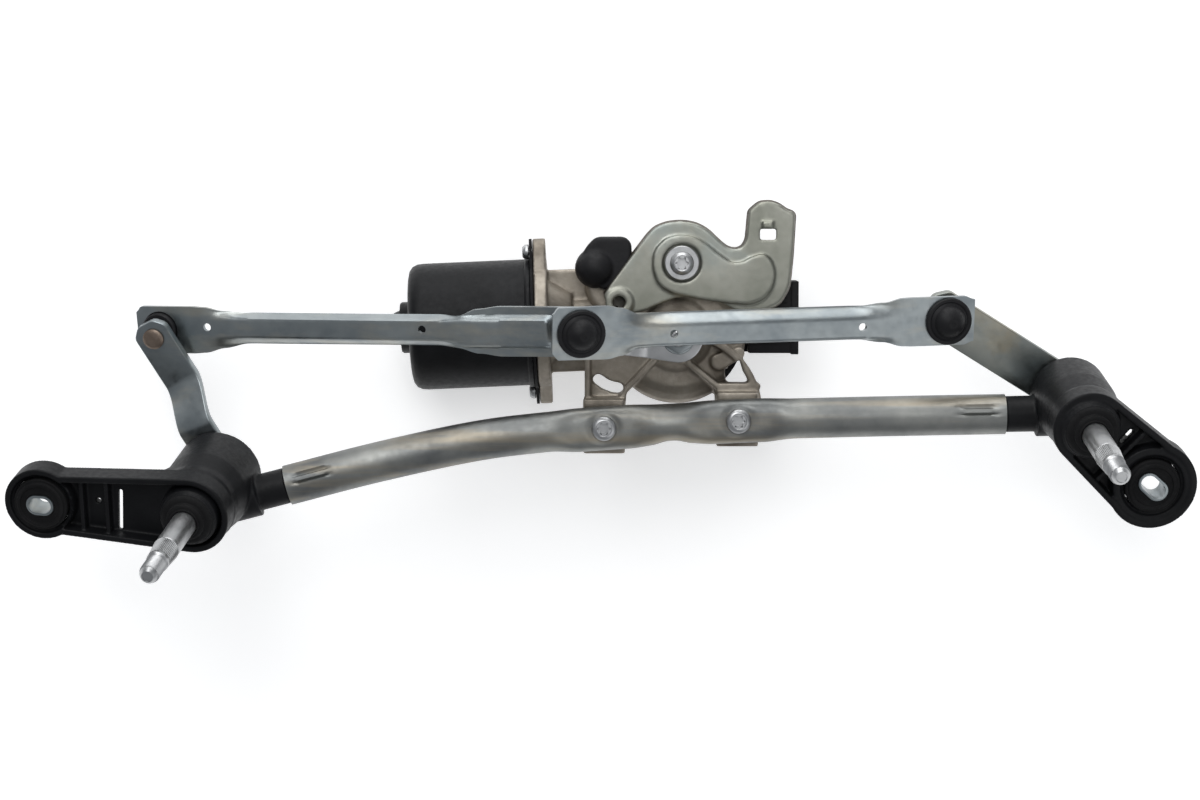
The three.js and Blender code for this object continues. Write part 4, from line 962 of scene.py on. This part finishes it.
# Stamped bracket
bracketEdge = [(-14.5, 50), (-11, 53.6), (-5, 56), (2.3, 56.6), (9, 55.6), (15, 52.4), (20, 47.4),
               (24.5, 43.6), (29, 42.4), (33, 44), (35, 48), (36.2, 62), (38.5, 63.9), (41, 66),
               (46, 66.6), (50.5, 65.2), (54.5, 62.2), (58.4, 61), (57.2, 40), (55.6, 24), (51, 16),
               (44, 12.8), (30, 12.2), (22, 16.4), (10, 19.2), (0, 19), (-8, 16.2), (-16, 12.4),
               (-26, 10.6), (-33, 12.4), (-37, 18.6), (-34, 24)]
bracketPan = [(1.2, 50.4), (-6, 48.6), (-11.6, 42.6), (-12.4, 34), (-9.6, 25.4), (-3, 21.2), (10, 18.2),
              (26, 16.2), (37, 15.6), (44, 18.6), (48, 24.6), (49, 32), (46.6, 38.4), (42.6, 40.9),
              (37, 39.2), (32, 36.4), (27, 36.4), (20.5, 40.6), (14, 46), (8, 49.4)]


def buildBracket():
    outline = rounded(list(reversed(bracketEdge)), 3, 4)
    pan = rounded(list(reversed(bracketPan)), 4, 4)
    sheet = plate(outline, 36, 37.6)
    raised = gathered(*[plate(grown(pan, step), 36.4, 39.4 - step * .55)
                        for step in (0, .5, 1, 1.5, 2, 2.5, 3)])
    skirt = carved(plate(grown(outline, 1.3), 31.4, 34.4), plate(grown(outline, -.5), 20, 60),
                   block(-60, 33, -20, 21, 0, 60))
    bend = carved(plate(grown(outline, .6), 33.6, 37), plate(grown(outline, -1.3), 20, 60),
                  block(-60, 33, -20, 19, 0, 60))
    ring = rod(7, 36, 38.4, place=shift(*ringAt))
    body = gathered(sheet, raised, skirt, bend, ring)
    atClamp, atRing = shift(*clampAt), shift(*ringAt)
    hollow = [plate(grown(pan, -1.8), 33, 36.9), rod(9.7, 38, 45, place=atClamp),
              rod(3.3, 20, 60, place=atClamp), rod(3.1, 20, 60, place=atRing),
              block(41.4, 49.2, 47.8, 53.1, 20, 60), rod(8.8, 20, 36.1, place=atClamp)]
    louvre = softened(block(42.4, 48, 53.2, 57, 37, 39), .7, 2, 40)
    body = cast(gathered(carved(body, *hollow), louvre), .5, 9)
    piece = finishPiece("bracket_pressing", body, "frame", "bracket_steel", ["motor_bracket"], sharp=60)
    # The folded rim's sideways faces get a darker brown steel: painted shade, standing in for the shade that
    # falls on the rim.
    piece.data.materials.append(materials["rim_shade_steel"])
    for face in piece.data.polygons:
        if abs(face.normal.z) < .55 and face.center.z < .0371:
            face.material_index = 1


# Breather cap and gear cover
def buildCovers():
    front = casting["flange"][0]
    shoulders = rounded([(-50.6, 36), (-49, 31), (-36, 22), (-27, 29), (-22.7, 38), (-22.7, 46),
                         (-26, 49.2), (-40.5, 49.2), (-44.6, 45.4)], 2.5)
    cap = gathered(ball(10.2, (-41, 33.5, 30)), softened(plate(shoulders, 22, 35), 1.6, 3, 40))
    cap = carved(cap, rod(17.3, 0, 28.3, place=shift(*idlerPlace)),
                 rod(10.8, 5, front, place=alongMotor), rod(34, front - .3, 134, place=alongMotor),
                 rod(14.3, front - 9.3, front, 22.3, place=alongMotor),
                 rod(5.9, 10, 50, place=shift(*ringAt)))
    finishPiece("breather_hood", cast(cap, .6, 4), "frame", "black_plastic", ["breather_cap"], sharp=60)
    disc = gathered(rod(35, 0, 2.2, steps=72), rod(17, 0, 2.2, place=shift(*idlerPlace)),
                    block(30, 52, -10, 26, 0, 2.2))
    shell = gathered(disc, softened(block(36.5, 60, -10, 26, 0, 18), .8, 3, 40),
                     softened(block(58, 62, -10.6, 26.6, -.2, 18.6), .5, 2, 40))
    hollow = [softened(block(47, 64, -7.5, 23.5, 3, 15.4), .8, 2, 40),
              block(50, 64, 23, 27, 8, 11), block(50, 64, -11, -7, 8, 11)]
    ribs = [block(38, 56, y, y + 1.2, 17.5, 19.2) for y in (-5, 2, 9, 16, 21)]
    webs = [placed(block(10, 33.5, -.7, .7, -.9, .4), Matrix.Rotation(math.radians(a), 4, "Z"))
            for a in range(0, 360, 30)]
    cover = gathered(carved(shell, *hollow), *ribs, *webs, rod(10, -1, .4, steps=48))
    finishPiece("gearbox_cover", cover, "frame", "black_plastic", ["gear_cover"], sharp=40)


for side in ("left", "right"):
    buildLinkBar(side)
    buildSockets(side)
    buildLever(side)
    buildSpindle(side)
    buildHousing(side)
print("links, levers, spindles and housings made")
buildScrews()
buildCrank()
buildGearHousing()
buildMotor()
buildBracket()
buildCovers()
print("gearbox, motor and bracket made")

# Floor and light
floorMaterial = bpy.data.materials.new("paleFloor")
floorMaterial.use_nodes = True
floorShader = floorMaterial.node_tree.nodes["Principled BSDF"]
floorShader.inputs["Base Color"].default_value = (.9, .9, .9, 1)
floorShader.inputs["Roughness"].default_value = .8
floorShader.inputs["Emission Color"].default_value = (1, 1, 1, 1)
floorShader.inputs["Emission Strength"].default_value = .42
floorShape = bmesh.new()
bmesh.ops.create_grid(floorShape, x_segments=1, y_segments=1, size=6)
floor = toObject(placed(floorShape, shift(0, 0, cadBounds[0][2] - .004)), "floor")
floor.data.materials.append(floorMaterial)

world = bpy.data.worlds.new("studio")
world.use_nodes = True
world.node_tree.nodes["Background"].inputs["Color"].default_value = (.93, .96, 1, 1)
world.node_tree.nodes["Background"].inputs["Strength"].default_value = .34
scene.world = world

lights = {"window": {"at": (0, 1.6, .5), "power": 17, "size": 1.4},
          "key": {"at": (-.5, .9, 1.4), "power": 9, "size": .9},
          "fill": {"at": (.9, -.7, 1.2), "power": 3.5, "size": 1.2},
          "top": {"at": (.1, .4, 1.9), "power": 4, "size": .7}}
for lightName, look in lights.items():
    lightData = bpy.data.lights.new(lightName, "AREA")
    lightData.energy = look["power"]
    lightData.size = look["size"]
    light = bpy.data.objects.new(lightName, lightData)
    light.location = look["at"]
    light.rotation_euler = (Vector((0, 0, 0)) - Vector(look["at"])).to_track_quat("-Z", "Y").to_euler()
    scene.collection.objects.link(light)
scene.view_settings.view_transform = "Standard"
print("stage set")
